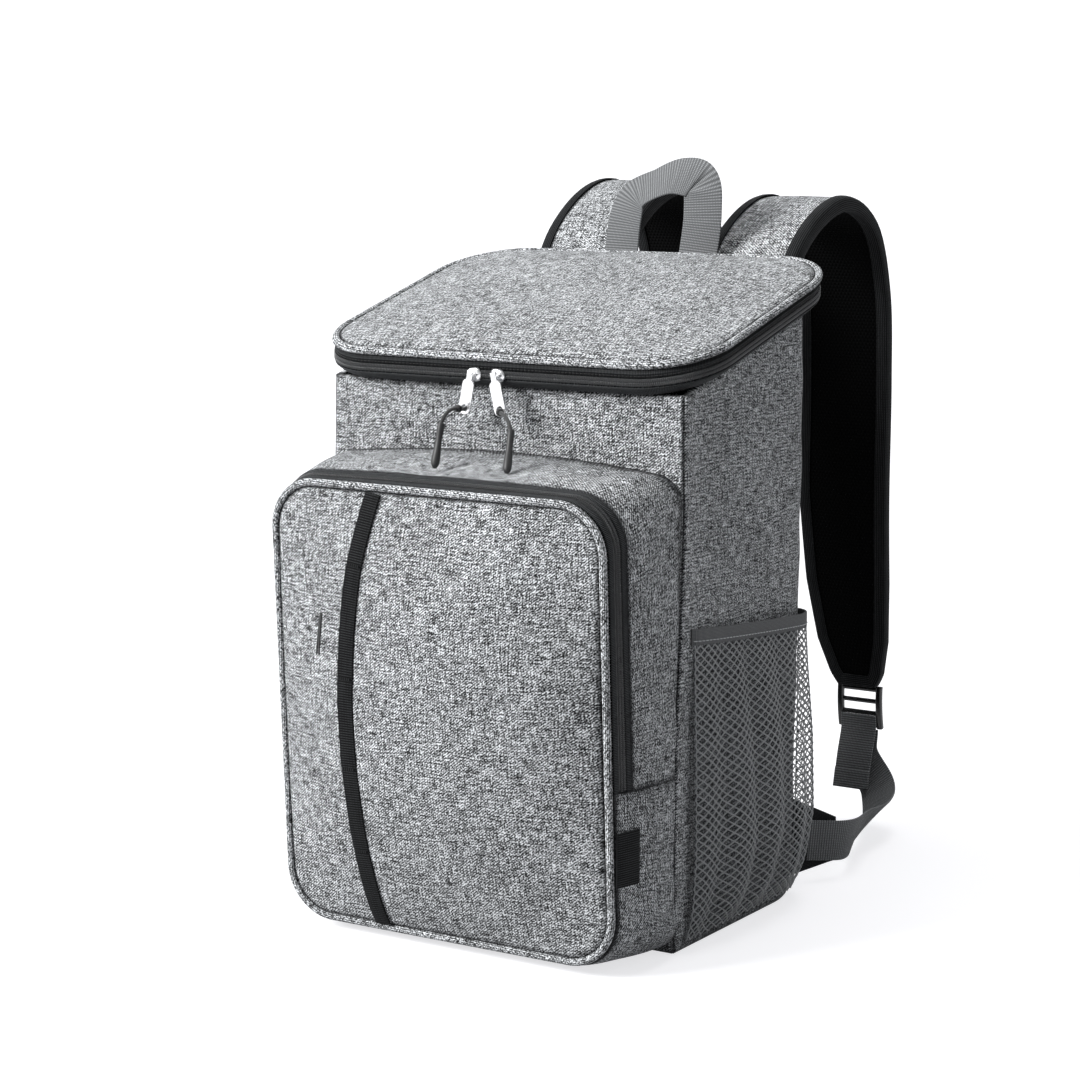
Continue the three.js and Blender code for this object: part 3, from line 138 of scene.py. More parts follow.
class Build:
    def __init__(self):
        self.points, self.faces, self.uvs, self.painted_shades = [], [], [], []
        self.count = 0

    # Each point's seam value is its painted shade: how much the shader darkens it.
    def add(self, points, seam=0.0):
        points = np.asarray(points, float).reshape(-1, 3)
        start = self.count
        self.points.append(points)
        self.painted_shades.append(np.broadcast_to(np.ravel(seam), len(points)))
        self.count += len(points)
        return start

    def grid(self, points, uv, wrap=False, seam=0.0):
        # Rows and columns of points. A wrapped grid's columns close on themselves.
        rows, columns = points.shape[:2]
        start = self.add(points, seam)
        spans = columns if wrap else columns - 1
        i, j = np.meshgrid(np.arange(rows - 1), np.arange(spans), indexing="ij")
        k = (j + 1) % columns
        corners = [i * columns + j, i * columns + k, (i + 1) * columns + k, (i + 1) * columns + j]
        self.faces.extend((start + np.stack(corners, -1).reshape(-1, 4)).tolist())
        cells = [uv[i, j], uv[i, j + 1], uv[i + 1, j + 1], uv[i + 1, j]]
        self.uvs.append(np.stack(cells, 2).reshape(-1, 2))
        return start

    def fan(self, ring, tip, ring_uv, tip_uv):
        # Triangles from a ring of point numbers to one more point.
        top = self.add([tip])
        count = len(ring)
        for i in range(count):
            self.faces.append([ring[i], ring[(i + 1) % count], top])
            self.uvs.append(np.array([ring_uv[i], ring_uv[(i + 1) % count], tip_uv]))

    def cap(self, ring, uv):
        self.faces.append(list(ring))
        self.uvs.append(np.asarray(uv, float))

    def band(self, rows, s, v, ends=None, seam=0.0):
        # Rows of closed rings, capped at both ends. s and v are the lengths along and round it.
        width = rows.shape[1]
        ends = np.zeros((width, 2)) if ends is None else ends
        uv = np.stack(np.broadcast_arrays(s[:, None], v[None]), -1)
        start = self.grid(rows, uv, wrap=True, seam=seam)
        last = start + (len(rows) - 1) * width
        self.cap(range(start + width - 1, start - 1, -1), ends[::-1])
        self.cap(range(last, last + width), ends)

    def sweep(self, path, across, normal, section):
        # A closed section along a path. A section point is a step across and a step along the normal.
        section = np.asarray(section, float)
        if section.ndim == 2:
            section = np.broadcast_to(section, (len(path), *section.shape))
        points = path[:, None] + across[:, None] * section[..., :1] + normal[:, None] * section[..., 1:]
        around = np.linalg.norm(np.diff(np.concatenate([section, section[:, :1]], 1), axis=1), axis=2)
        v = np.concatenate([np.zeros((len(path), 1)), np.cumsum(around, 1)], 1)
        v = v - v[:, -1:] / 2
        u = np.broadcast_to(lengths_of(path)[:, None], v.shape)
        start = self.grid(points, np.stack([u, v], -1), wrap=True)
        count = section.shape[1]
        last = start + (len(path) - 1) * count
        self.cap(range(start + count - 1, start - 1, -1), section[0][::-1])
        self.cap(range(last, last + count), section[-1])

    def tube(self, path, radius, sides):
        path = np.asarray(path, float)
        tangent = unit(np.gradient(path, axis=0))
        side = np.zeros_like(path)
        seed = np.array([0.0, 0.0, 1.0]) if abs(tangent[0][2]) < 0.9 else ACROSS
        side[0] = unit(np.cross(tangent[0], seed))
        for i in range(1, len(path)):
            side[i] = unit(side[i - 1] - tangent[i] * np.dot(side[i - 1], tangent[i]))
        other = np.cross(tangent, side)
        angle = 2 * math.pi * np.arange(sides) / sides
        radius = np.broadcast_to(radius, (len(path),))
        section = np.stack([np.cos(angle), np.sin(angle)], 1)[None] * radius[:, None, None]
        self.sweep(path, side, other, section)

    def copies(self, template, faces, places, along, across, out):
        # One small form at many places, each with its own directions.
        basis = np.stack([along, across, out], 1)
        points = places[:, None] + np.einsum("kc,ncd->nkd", template, basis)
        start = self.add(points)
        size = len(template)
        for face in faces:
            rows = start + np.arange(len(places))[:, None] * size + np.asarray(face)[None]
            self.faces.extend(rows.tolist())
            self.uvs.append(np.tile(template[list(face)][:, :2], (len(places), 1)))

    def make(self, name, finish, replaces=()):
        mesh = bpy.data.meshes.new(name)
        mesh.from_pydata((np.vstack(self.points) * MM).tolist(), [], self.faces)
        layer = mesh.uv_layers.new(name="UVMap")
        layer.data.foreach_set("uv", np.vstack(self.uvs).astype(np.float32).ravel())
        # The seam attribute carries painted shade: shadow in crevices, at the floor and under the nets,
        # darkened into the colour by the shader.
        seam = mesh.attributes.new("seam", "FLOAT", "POINT")
        seam.data.foreach_set("value", np.concatenate(self.painted_shades).astype(np.float32))
        mesh.materials.append(finish)
        work = bmesh.new()
        work.from_mesh(mesh)
        bmesh.ops.recalc_face_normals(work, faces=work.faces)
        work.to_mesh(mesh)
        work.free()
        mesh.polygons.foreach_set("use_smooth", [True] * len(mesh.polygons))
        return place(bpy.data.objects.new(name, mesh), replaces)


def place(piece, replaces=()):
    if piece.name not in scene.collection.objects:
        scene.collection.objects.link(piece)
    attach(piece, "root")
    if replaces:
        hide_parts(*replaces)
    return piece


def rounded_section(width, thickness, radius, steps=3):
    # A flat closed section with round edges.
    corners = [(1, 1, 0), (-1, 1, 90), (-1, -1, 180), (1, -1, 270)]
    points = []
    for sx, sy, start in corners:
        for k in range(steps + 1):
            angle = math.radians(start + 90 * k / steps)
            points.append([sx * (width / 2 - radius) + radius * math.cos(angle),
                           sy * (thickness / 2 - radius) + radius * math.sin(angle)])
    return np.array(points)


def outline(half, low, high, low_corner, high_corner, corner_steps, edge_steps):
    # A rounded rectangle with outward normals, anticlockwise from the low edge's left end.
    corners = [
        (half - low_corner, low + low_corner, low_corner, -90),
        (half - high_corner, high - high_corner, high_corner, 0),
        (-half + high_corner, high - high_corner, high_corner, 90),
        (-half + low_corner, low + low_corner, low_corner, 180),
    ]
    arcs = []
    for x, y, r, start in corners:
        angle = np.radians(start + 90 * np.arange(corner_steps + 1) / corner_steps)
        normal = np.stack([np.cos(angle), np.sin(angle)], 1)
        arcs.append((np.array([x, y]) + normal * r, normal))
    points, normals = [], []
    for i, (p, n) in enumerate(arcs):
        before = arcs[(i + 3) % 4][0][-1]
        share = (np.arange(1, edge_steps) / edge_steps)[:, None]
        points += [mix(before, p[0], share), p]
        normals += [np.repeat(n[:1], edge_steps - 1, 0), n]
    return np.vstack(points), np.vstack(normals)


# Materials

# How strongly the painted shade of the seam attribute darkens a colour.
PAINTED_SHADE_STRENGTH = 0.85


def material(name, colour, roughness, metallic=0.0, sheen=0.0):
    result = bpy.data.materials.new(name)
    result.use_nodes = True
    shader = result.node_tree.nodes["Principled BSDF"]
    shader.inputs["Base Color"].default_value = (*colour, 1)
    shader.inputs["Roughness"].default_value = roughness
    shader.inputs["Metallic"].default_value = metallic
    shader.inputs["Sheen Weight"].default_value = sheen
    shader.inputs["Sheen Roughness"].default_value = 0.5
    return result, Shader(result.node_tree, shader)


class Shader:
    # Short calls for the nodes of one material.
    def __init__(self, tree, shader):
        self.tree, self.shader = tree, shader
        self.uv = self.node("ShaderNodeUVMap", uv_map="UVMap").outputs[0]

    def node(self, kind, **settings):
        result = self.tree.nodes.new(kind)
        for name, value in settings.items():
            setattr(result, name, value)
        return result

    def put(self, socket, value):
        if isinstance(value, bpy.types.NodeSocket):
            self.tree.links.new(value, socket)
        else:
            socket.default_value = value

    def math(self, operation, a, b=0.0, clamp=False):
        node = self.node("ShaderNodeMath", operation=operation, use_clamp=clamp)
        self.put(node.inputs[0], a)
        self.put(node.inputs[1], b)
        return node.outputs[0]

    def total(self, *terms):
        # A sum of values, each times its own weight.
        result = self.math("MULTIPLY", *terms[0])
        for value, weight in terms[1:]:
            result = self.math("ADD", result, self.math("MULTIPLY", value, weight))
        return result

    def stretched(self, x, y, turn):
        # The place on the cloth, turned and then scaled.
        node = self.node("ShaderNodeMapping")
        self.put(node.inputs["Vector"], self.uv)
        node.inputs["Scale"].default_value = (x, y, 1)
        if turn:
            first = self.node("ShaderNodeMapping")
            self.put(first.inputs["Vector"], self.uv)
            first.inputs["Rotation"].default_value = (0, 0, turn)
            self.put(node.inputs["Vector"], first.outputs[0])
        return node.outputs[0]

    def noise(self, x, y, detail, turn=0.0):
        # Noise centred on nought, of about one in height.
        node = self.node("ShaderNodeTexNoise")
        self.put(node.inputs["Vector"], self.stretched(x, y, turn))
        node.inputs["Scale"].default_value = 1
        node.inputs["Detail"].default_value = detail
        return self.math("MULTIPLY", self.math("SUBTRACT", node.outputs["Fac"], 0.5), 3.2)

    def ribs(self, pitch_share, turn=0.0):
        # A sine of one in height, along the first axis after the turn, with this many ribs per millimetre.
        split = self.node("ShaderNodeSeparateXYZ")
        self.put(split.inputs[0], self.stretched(pitch_share * 2 * math.pi, 0, turn))
        return self.math("SINE", split.outputs[0])

    def ramp(self, value, stops):
        node = self.node("ShaderNodeValToRGB")
        ramp = node.color_ramp
        while len(ramp.elements) < len(stops):
            ramp.elements.new(0.5)
        for element, (spot, colour) in zip(ramp.elements, stops):
            element.position = spot
            element.color = (*colour, 1)
        self.put(node.inputs[0], value)
        return node.outputs[0]

    def shaded(self, colour):
        # The colour with painted shade: darker where the mesh's seam attribute says that shadow falls in a
        # seam, under the nets or at the floor.
        seam = self.node("ShaderNodeAttribute", attribute_name="seam")
        node = self.node("ShaderNodeMix", data_type="RGBA", blend_type="MULTIPLY")
        self.put(node.inputs[0], self.math("MULTIPLY", seam.outputs["Fac"], PAINTED_SHADE_STRENGTH, clamp=True))
        self.put(node.inputs[6], colour)
        # The colour of the painted shade.
        node.inputs[7].default_value = (0.03, 0.03, 0.035, 1)
        return node.outputs[2]

    def bump(self, height, distance, strength):
        node = self.node("ShaderNodeBump")
        node.inputs["Strength"].default_value = strength
        node.inputs["Distance"].default_value = distance * MM
        self.put(node.inputs["Height"], height)
        self.put(self.shader.inputs["Normal"], node.outputs[0])


def grey(value, tint=0.03):
    return (value * (1 - tint), value, value * (1 + tint))


def heather(name, turn=0.0, light=1.0):
    # Melange cloth: pale and dark yarns crossing, with slubs both ways and a fine twill.
    result, s = material(name, grey(0.25), 0.95, sheen=0.03)
    s.shader.inputs["Specular IOR Level"].default_value = 0.15
    slub_across = s.noise(0.1, 0.8, 1, turn)
    slub_up = s.noise(0.8, 0.1, 1, turn)
    grain = s.noise(0.9, 0.9, 0, turn)
    fine = s.noise(0.45, 0.45, 0, turn)
    twill = s.ribs(0.68, turn + math.radians(52))
    broken = s.math("MULTIPLY", twill, s.math("ADD", s.math("MULTIPLY", fine, 0.8), 0.7))
    cloudy = s.noise(0.02, 0.02, 2)
    value = s.total((slub_across, 0.38), (slub_up, 0.34), (grain, 0.5), (broken, 0.32), (cloudy, 0.08))
    value = s.math("ADD", value, 0.5, clamp=True)
    colours = s.ramp(value, [
        (0.0, grey(0.008 * light)),
        (0.25, grey(0.05 * light)),
        (0.5, grey(0.18 * light)),
        (0.75, grey(0.4 * light)),
        (1.0, grey(0.76 * light)),
    ])
    s.put(s.shader.inputs["Base Color"], s.shaded(colours))
    s.bump(s.total((slub_across, 0.3), (slub_up, 0.3), (grain, 0.5), (broken, 0.45)), 0.12, 0.4)
    return result


def black_cloth(name, value, pitch, turn=0.0, sheen=0.0):
    # Tightly woven black tape with fine ribs.
    result, s = material(name, grey(value, 0.05), 0.72, sheen=sheen)
    s.shader.inputs["Specular IOR Level"].default_value = 0.06
    rib = s.ribs(1 / pitch, turn)
    cross = s.ribs(1 / (pitch * 1.3), turn + math.pi / 2)
    grain = s.noise(1.1, 1.1, 2)
    wide = s.noise(0.05, 0.25, 2)
    height = s.total((rib, 0.6), (s.math("MULTIPLY", rib, cross), 0.35), (grain, 0.3))
    tone = s.math("ADD", s.total((height, 0.75), (wide, 0.16)), 0.5, clamp=True)
    colours = s.ramp(tone, [(0.0, grey(value * 0.1, 0.05)), (0.5, grey(value, 0.05)),
                            (1.0, grey(value * 3.4, 0.05))])
    s.put(s.shader.inputs["Base Color"], s.shaded(colours))
    s.bump(height, 0.16, 0.6)
    return result


def webbing_cloth(name, value, pitch=1.9, dash_pitch=1.25):
    # Webbing: ribs across its length, each cut into dashes.
    result, s = material(name, grey(value), 0.85, sheen=0.05)
    s.shader.inputs["Specular IOR Level"].default_value = 0.2
    row = s.ribs(1 / pitch)
    dash = s.ribs(1 / dash_pitch, math.pi / 2)
    grain = s.noise(1.2, 1.2, 2)
    height = s.total((row, 0.6), (dash, 0.3), (s.math("MULTIPLY", row, dash), 0.4), (grain, 0.3))
    tone = s.math("ADD", s.total((height, 0.44)), 0.5, clamp=True)
    colours = s.ramp(tone, [(0.0, grey(value * 0.32)), (0.45, grey(value * 0.85)), (1.0, grey(value * 2.1))])
    s.put(s.shader.inputs["Base Color"], s.shaded(colours))
    s.bump(height, 0.3, 0.7)
    return result


def air_mesh(name):
    # Black spacer mesh with small round holes in rows.
    result, s = material(name, grey(0.009), 0.9)
    s.shader.inputs["Specular IOR Level"].default_value = 0.03
    height = s.total(*((s.ribs(1 / 2.6, math.radians(turn)), 0.33) for turn in (30, -30, 90)))
    tone = s.math("ADD", s.math("MULTIPLY", height, 0.5), 0.5, clamp=True)
    s.put(s.shader.inputs["Base Color"], s.ramp(tone, [(0.2, grey(0.0008)), (1.0, grey(0.006))]))
    s.bump(height, 0.5, 0.8)
    return result


def moulded(name, value, roughness):
    # Moulded plastic or rubber with faint unevenness.
    result, s = material(name, grey(value), roughness)
    small = s.noise(1.5, 1.5, 2)
    wide = s.noise(0.25, 0.25, 2)
    s.put(s.shader.inputs["Roughness"], s.math("ADD", s.math("MULTIPLY", wide, 0.08), roughness))
    s.bump(s.total((small, 0.4), (wide, 0.6)), 0.03, 0.4)
    return result


def silver():
    # Plated zinc with a soft cast surface.
    result, s = material("silver_finish", (0.93, 0.93, 0.94), 0.24, metallic=0.85)
    small = s.noise(0.9, 0.9, 3)
    s.put(s.shader.inputs["Roughness"], s.math("ADD", s.math("MULTIPLY", small, 0.05), 0.24))
    s.bump(small, 0.02, 0.4)
    return result


def thread(name, value):
    result, s = material(name, grey(value), 0.65, sheen=0.2)
    twist = s.ribs(1.1, math.radians(35))
    s.bump(twist, 0.1, 0.5)
    return result


HEATHER = heather("heather_finish")
PIPING = heather("piping_finish", turn=math.radians(40), light=1.08)
TAPE = black_cloth("tape_finish", 0.024, 1.1, sheen=0.02)
STRIP = black_cloth("strip_finish", 0.0085, 1.7)
BINDING = black_cloth("binding_finish", 0.012, 1.5, math.pi / 2)
# The coil is lighter than black plastic: a painted highlight for the glints on its teeth.
COIL = moulded("coil_finish", 0.06, 0.3)
WEBBING = webbing_cloth("webbing_finish", 0.15)
BOUND_EDGE = webbing_cloth("bound_edge_finish", 0.12, 1.3, 0.9)
NET = thread("net_finish", 0.3)
MESH = air_mesh("mesh_finish")
METAL = silver()
PLASTIC = moulded("plastic_finish", 0.012, 0.22)
RUBBER = moulded("rubber_finish", 0.02, 0.5)
CORD = thread("cord_finish", 0.014)
STITCH = thread("stitch_finish", 0.55)
DARK_STITCH = thread("dark_stitch_finish", 0.02)

# Main forms, from the same numbers as the CAD
BODY_WIDTH, BODY_DEPTH, WALL = 282.0, 200.0, 5.0
FRONT, REAR = -100.0, 100.0
FRONT_CORNER, REAR_CORNER = 4.0, 48.0
LID_HALF, LID_FRONT, LID_REAR = 157.0, -114.0, 105.0
LID_FRONT_CORNER, LID_REAR_CORNER = 52.0, 56.0
LID_SLOPE = math.tan(math.radians(15.3))
PIPING_RADIUS, GAP = 2.7, 0.3
BAND_INSET = 2.0
BAND_TOP = -3.0
COIL_TOP, COIL_BOTTOM = -7.8, -13.8
LOWER_TAPE_TOP = -14.1
BODY_RIM = -23.4
BODY_FORM = [
    (0.0, -0.028, -0.03),
    (0.02, -0.014, 0.004),
    (0.08, -0.008, 0.03),
    (0.4, 0.0, 0.042),
    (0.62, 0.004, 0.02),
    (0.8, 0.004, 0.004),
    (1.0, 0.0, 0.0),
]


def lid_height(y):
    return 394 + (y - LID_FRONT) * LID_SLOPE


def on_lid(x, y, depth):
    return np.stack(np.broadcast_arrays(x, y, lid_height(y) + depth), -1)


def lid_outline(inset=0.0):
    return outline(LID_HALF - inset, LID_FRONT + inset, LID_REAR - inset,
                   LID_FRONT_CORNER - inset, LID_REAR_CORNER - inset, 20, 36)


def rim_outline():
    return outline(BODY_WIDTH / 2, FRONT, REAR, 36, REAR_CORNER, 20, 36)


def rim_height(y):
    return lid_height(y) + BODY_RIM


def side_wall(share):
    return BODY_WIDTH / 2 + BODY_WIDTH * read(BODY_FORM, share, 1)


def front_wall(z):
    return FRONT - BODY_DEPTH * read(BODY_FORM, z / rim_height(FRONT), 2)


def crown_share(x, half, y, low, high, power):
    u = np.minimum(np.abs(x) / half, 1)
    v = np.minimum(np.abs(y - (low + high) / 2) / ((high - low) / 2), 1)
    return (1 - u ** power) * (1 - v ** power)


# Pull cords and their ends
SLIDER_X = {"left": -14.0, "right": 5.0}
SLIDER_Y, SLIDER_Z = -113.3, lid_height(LID_FRONT) + (COIL_TOP + COIL_BOTTOM) / 2
BRIDGE_Y = -117.7
TAB_LEAN = {"left": -11.0, "right": 13.0}
TAB_LENGTH, TAB_WIDTH, TAB_HOLE = 27.0, 8.5, 5.4
CORD_RADIUS = 1.3
CORD_ROUTES = {
    "left": [[0, -3.4, -0.1], [0, 0, -0.75], [0, 4, -0.6], [0, 9, 0.2],
             [0.2, 14.5, 0.4], [0.5, 20, -0.6], [0.9, 25, -3],
             [1.2, 28.6, -6.2], [1.3, 30.4, -9.9]],
    "right": [[0, -3.4, -0.1], [0, 0, -0.75], [1.2, 3.6, -0.8],
             [4.6, 7.2, -0.9], [9, 10.6, -1.4], [13.6, 14, -2.9], [17.8, 17.4, -5.4],
             [21, 20.4, -8.8], [22.9, 22.3, -12.5]],
}
END_TURN = {"left": 0.0, "right": 22.0}
END_DIP = {"left": math.radians(74), "right": math.radians(60)}
END_RADIUS = 2.95


def cord_route(name):
    lean = math.radians(TAB_LEAN[name])
    reach = TAB_LENGTH - TAB_WIDTH / 2
    hole = np.array([SLIDER_X[name] + reach * math.sin(lean), BRIDGE_Y, SLIDER_Z - reach * math.cos(lean)])
    return hole + np.array([[a, -o, u] for a, o, u in CORD_ROUTES[name]])


def pull(name):
    route = cord_route(name)
    path = catmull(route, np.linspace(0, 1, 61))
    curve = bpy.data.curves.new(f"cord_{name}", "CURVE")
    curve.dimensions = "3D"
    curve.bevel_depth = CORD_RADIUS * MM
    curve.bevel_resolution = 4
    curve.use_fill_caps = True
    spline = curve.splines.new("POLY")
    spline.points.add(len(path) - 1)
    for point, spot in zip(spline.points, path):
        point.co = (*(spot * MM), 1)
    curve.materials.append(CORD)
    cord = place(bpy.data.objects.new(f"cord_{name}", curve), [f"pull_cord_{name}"])

    turn = math.radians(END_TURN[name])
    dip = END_DIP[name]
    axis = np.array([math.sin(turn) * math.cos(dip), -math.cos(turn) * math.cos(dip), -math.sin(dip)])
    start = route[-1] + axis * 0.9
    across = unit(np.cross(axis, [0.0, 0.0, 1.0]))
    upward = np.cross(across, axis)
    # The moulded end: a flat collar, a grip that swells towards its round tip, and a dished face.
    form = [(-3.5, 0.62), (-3.3, 0.74), (-2.6, 0.8), (0, 0.8), (3.0, 0.8), (4.0, 0.76), (6, 0.74), (10, 0.78),
            (15, 0.9), (19, 0.99), (22.5, 1.0), (24.6, 0.9), (26, 0.7), (26.8, 0.4), (27, 0.12)]
    build = Build()
    angle = 2 * math.pi * np.arange(20) / 20
    stations = np.array([start + axis * s for s, _ in form])
    sections = []
    for s, r in form:
        dish = 1 - 0.16 * math.exp(-((s - 13) / 7) ** 2)
        sections.append(END_RADIUS * r * np.stack([np.cos(angle), dish * np.sin(angle)], 1))
    build.sweep(stations, np.tile(across, (len(form), 1)), np.tile(upward, (len(form), 1)), sections)
    end = build.make(f"cord_end_{name}", RUBBER, [f"pull_end_{name}"])

    # The hitch at the hole: two turns round the tab's round end.
    hitch = Build()
    centre, lead = path[22], unit(path[26] - path[18])
    sideways = unit(np.cross(lead, [0.0, 0.0, 1.0]))
    lift = np.cross(sideways, lead)
    ring = 2 * math.pi * np.arange(21) / 20
    for shift, tilt in ((-1.3, 0.35), (1.0, -0.3)):
        loop = [centre + lead * (shift + tilt * math.cos(a) * 1.6) + sideways * 1.75 * math.cos(a)
                + lift * 1.75 * math.sin(a) for a in ring]
        hitch.tube(np.array(loop), 0.85, 8)
    knot = hitch.make(f"cord_knot_{name}", CORD)
    lengths_of(path)[-1] * MM


for side in SIDES:
    pull(side)


# Main compartment

def body():
    build = Build()
    rows = np.concatenate([[0.0], 0.008 * np.array([0.25, 1.0, 2.0]), np.linspace(0.03, 1, 58)])
    flat, _ = outline(BODY_WIDTH / 2, FRONT, REAR, FRONT_CORNER, REAR_CORNER, 14, 40)
    u = lengths_of(np.vstack([flat, flat[:1]]))
    points, uv, seam = [], [], []
    for share in rows:
        p, n = outline(side_wall(share), FRONT - BODY_DEPTH * read(BODY_FORM, share, 2), REAR,
                       FRONT_CORNER, REAR_CORNER, 14, 40)
        z = np.maximum(share * rim_height(p[:, 1]), 0)
        rounding = 3.0 * max(0, 1 - share / 0.012) ** 2
        inside = np.clip(min(share, 1 - share) / 0.06, 0, 1)
        bend = 0.55 * waves(u[:-1], z, 120, 3) + 0.25 * waves(u[:-1], z, 45, 5)
        is_side = np.abs(n[:, 0]) > 0.98
        is_front = n[:, 1] < -0.98
        slump = np.where(is_front, crease(p[:, 0], z, (112, 352), (128, 336), 4, 0.9), 0)
        slump += np.where(is_front, crease(p[:, 0], z, (-128, 362), (-118, 340), 4, 0.8), 0)
        slump += np.where(is_side & (p[:, 0] > 0), crease(p[:, 1], z, (-86, 250), (-40, 236), 7, 0.7), 0)
        # A sewn seam stands at each front corner.
        corner = np.array([side_wall(share) - 1.2, p[:, 1].min() + 1.2])
        off = np.minimum(*(np.linalg.norm(p - corner * (side, 1), axis=1) for side in (1, -1)))
        groove = 1.3 * np.exp(-(off / 1.3) ** 2)
        shift = (bend * inside + slump) * np.clip(off / 14, 0, 1) - groove - rounding
        p = p + n * np.minimum(shift, 1.2)[:, None]
        points.append(np.column_stack([p, z]))
        uv.append(np.stack([u, np.append(z, z[0])], 1))
        # Painted shade: darker in each front corner's seam groove and along the floor, where shadow falls.
        painted_shade = np.exp(-(off / 1.5) ** 2) + 0.75 * np.exp(-(z / 3.0) ** 2)
        # More painted shade on the sides behind the nets, for the nets' shadow.
        net_shadow_area = (np.abs(n[:, 0]) > 0.6) & (p[:, 1] > -90) & (z < 208)
        painted_shade = np.maximum(painted_shade, 0.62 * net_shadow_area)
        seam.append(np.clip(painted_shade, 0, 1))
    count = len(flat)
    for share in np.linspace(1, 0.015, 14):
        p, _ = outline(side_wall(share) - WALL, FRONT - BODY_DEPTH * read(BODY_FORM, share, 2) + WALL,
                       REAR - WALL, 1.0, REAR_CORNER - WALL, 14, 40)
        z = np.maximum(share * rim_height(p[:, 1]), WALL)
        points.append(np.column_stack([p, z]))
        uv.append(np.stack([u, np.append(z, z[0])], 1))
        seam.append(np.zeros(count))
    points = np.array(points)
    start = build.grid(points, np.array(uv), wrap=True, seam=np.array(seam))
    last = start + (len(points) - 1) * count
    build.fan(list(range(start, start + count)), [0, 0, 0], points[0][:, :2], (0, 0))
    build.fan(list(range(last, last + count)), [0, 0, WALL], points[-1][:, :2], (0, 0))
    build.make("body", HEATHER, ["body_shell"])


body()


# Lid

def crowned(build, edge, centre, height, lay, thickness, rings, edge_shade_width, ripple):
    # A crowned panel: rings that grow from its middle above, and shrink back to it below.
    shares = np.sin(math.pi / 2 * np.arange(1, rings + 1) / rings)
    reach = np.linalg.norm(edge - centre, axis=1)
    points, uv, seam = [], [], []
    for sink, order in ((0, shares), (thickness, shares[::-1])):
        for share in order:
            q = centre + (edge - centre) * share
            rise = height(q[:, 0], q[:, 1]) + ripple(q[:, 0], q[:, 1]) * min(1, (1 - share) / 0.08)
            inward = reach * (1 - share)
            roll = 1.1 * np.exp(-(inward / 2.2) ** 2)
            points.append(lay(q[:, 0], q[:, 1], rise - roll - sink))
            uv.append(np.vstack([q, q[:1]]))
            # Painted shade in the groove along the panel's edge, beside the piping.
            seam.append(np.exp(-(inward / edge_shade_width) ** 2))
    start = build.grid(np.array(points), np.array(uv), wrap=True, seam=np.array(seam))
    count = len(edge)
    last = start + (len(points) - 1) * count
    middle = centre[:1], centre[1:]
    top = height(*middle) + ripple(*middle)
    build.fan(list(range(start, start + count)), lay(*middle, top)[0], uv[0][:-1], centre)
    build.fan(list(range(last, last + count)), lay(*middle, top - thickness)[0], uv[-1][:-1], centre)


def lid():
    build = Build()
    edge, _ = lid_outline(2 * PIPING_RADIUS + GAP)

    def height(x, y):
        return 11 * crown_share(x, LID_HALF, y, LID_FRONT, LID_REAR, 3) + PIPING_RADIUS / 2

    def ripple(x, y):
        return 0.35 * waves(x, y, 130, 11) + crease(x, y, (-120, -70), (-60, -20), 9, 0.4)

    crowned(build, edge, np.array([0.0, (LID_FRONT + LID_REAR) / 2]), height, on_lid, 6.0, 34, 1.1, ripple)
    build.make("lid", HEATHER, ["lid_panel"])

    cord = Build()
    p, n = lid_outline(PIPING_RADIUS)
    piping_band(cord, p, n, on_lid)
    cord.make("lid_cord_edge", PIPING, ["lid_piping"])


def piping_band(build, p, n, lay):
    # A cloth-covered cord round a closed outline. Its inner side, where it is sewn, has painted shade.
    sides = 14
    angle = 2 * math.pi * np.arange(sides) / sides
    path = lay(p[:, 0], p[:, 1], 0.0)
    rings = []
    for a in angle:
        x, y = (p + n * PIPING_RADIUS * math.cos(a)).T
        rings.append(lay(x, y, PIPING_RADIUS * math.sin(a)))
    points = np.stack(rings, 1)
    points = np.concatenate([points, points[:1]])
    s = lengths_of(np.vstack([path, path[:1]]))
    around = PIPING_RADIUS * 2 * math.pi * np.arange(sides + 1) / sides
    uv = np.stack(np.broadcast_arrays(s[:, None], around[None]), -1)
    # Painted shade on the piping's two inner sides, where shadow falls against the cloth beside it.
    sewn_side_shade = np.exp(-((angle - math.pi) / 0.5) ** 2) + 0.8 * np.exp(-((angle - 1.72 * math.pi) / 0.5) ** 2)
    seam = np.broadcast_to(np.clip(sewn_side_shade, 0, 1), (len(points), sides))
    build.grid(points, uv, wrap=True, seam=seam)


lid()

# The lid's zip goes round the front, and its cloth hinge round the rear.
CORNER_COUNT, EDGE_COUNT = 20, 36
ZIP_TURN = int(round(CORNER_COUNT * 54 / 90))


def lid_run(ring, over_zip):
    # Stations of an outline that the zip covers, or those behind it.
    p, n = ring
    block = EDGE_COUNT - 1 + CORNER_COUNT + 1
    first_arc = block + EDGE_COUNT - 1
    second_arc = 2 * block + EDGE_COUNT - 1
    start, end = second_arc + CORNER_COUNT - ZIP_TURN, first_arc + ZIP_TURN
    if over_zip:
        order = np.r_[start:len(p), 0:end + 1]
    else:
        order = np.arange(end, start + 1)
    return p[order], n[order]


TOOTH_RINGS = [(-1.25, 0.45), (-0.7, 0.95), (0.7, 0.95), (1.25, 0.45)]


def tooth_form():
    points = []
    for length, scale in TOOTH_RINGS:
        for k in range(6):
            angle = math.radians(60 * k + 30)
            points.append([0.46 * scale * math.cos(angle), length, 0.62 * scale * math.sin(angle)])
    faces = []
    for r in range(3):
        for k in range(6):
            m = (k + 1) % 6
            faces.append((6 * r + k, 6 * r + m, 6 * r + 6 + m, 6 * r + 6 + k))
    faces += [tuple(range(5, -1, -1)), tuple(range(18, 24))]
    return np.array(points), faces


TOOTH, TOOTH_FACES = tooth_form()


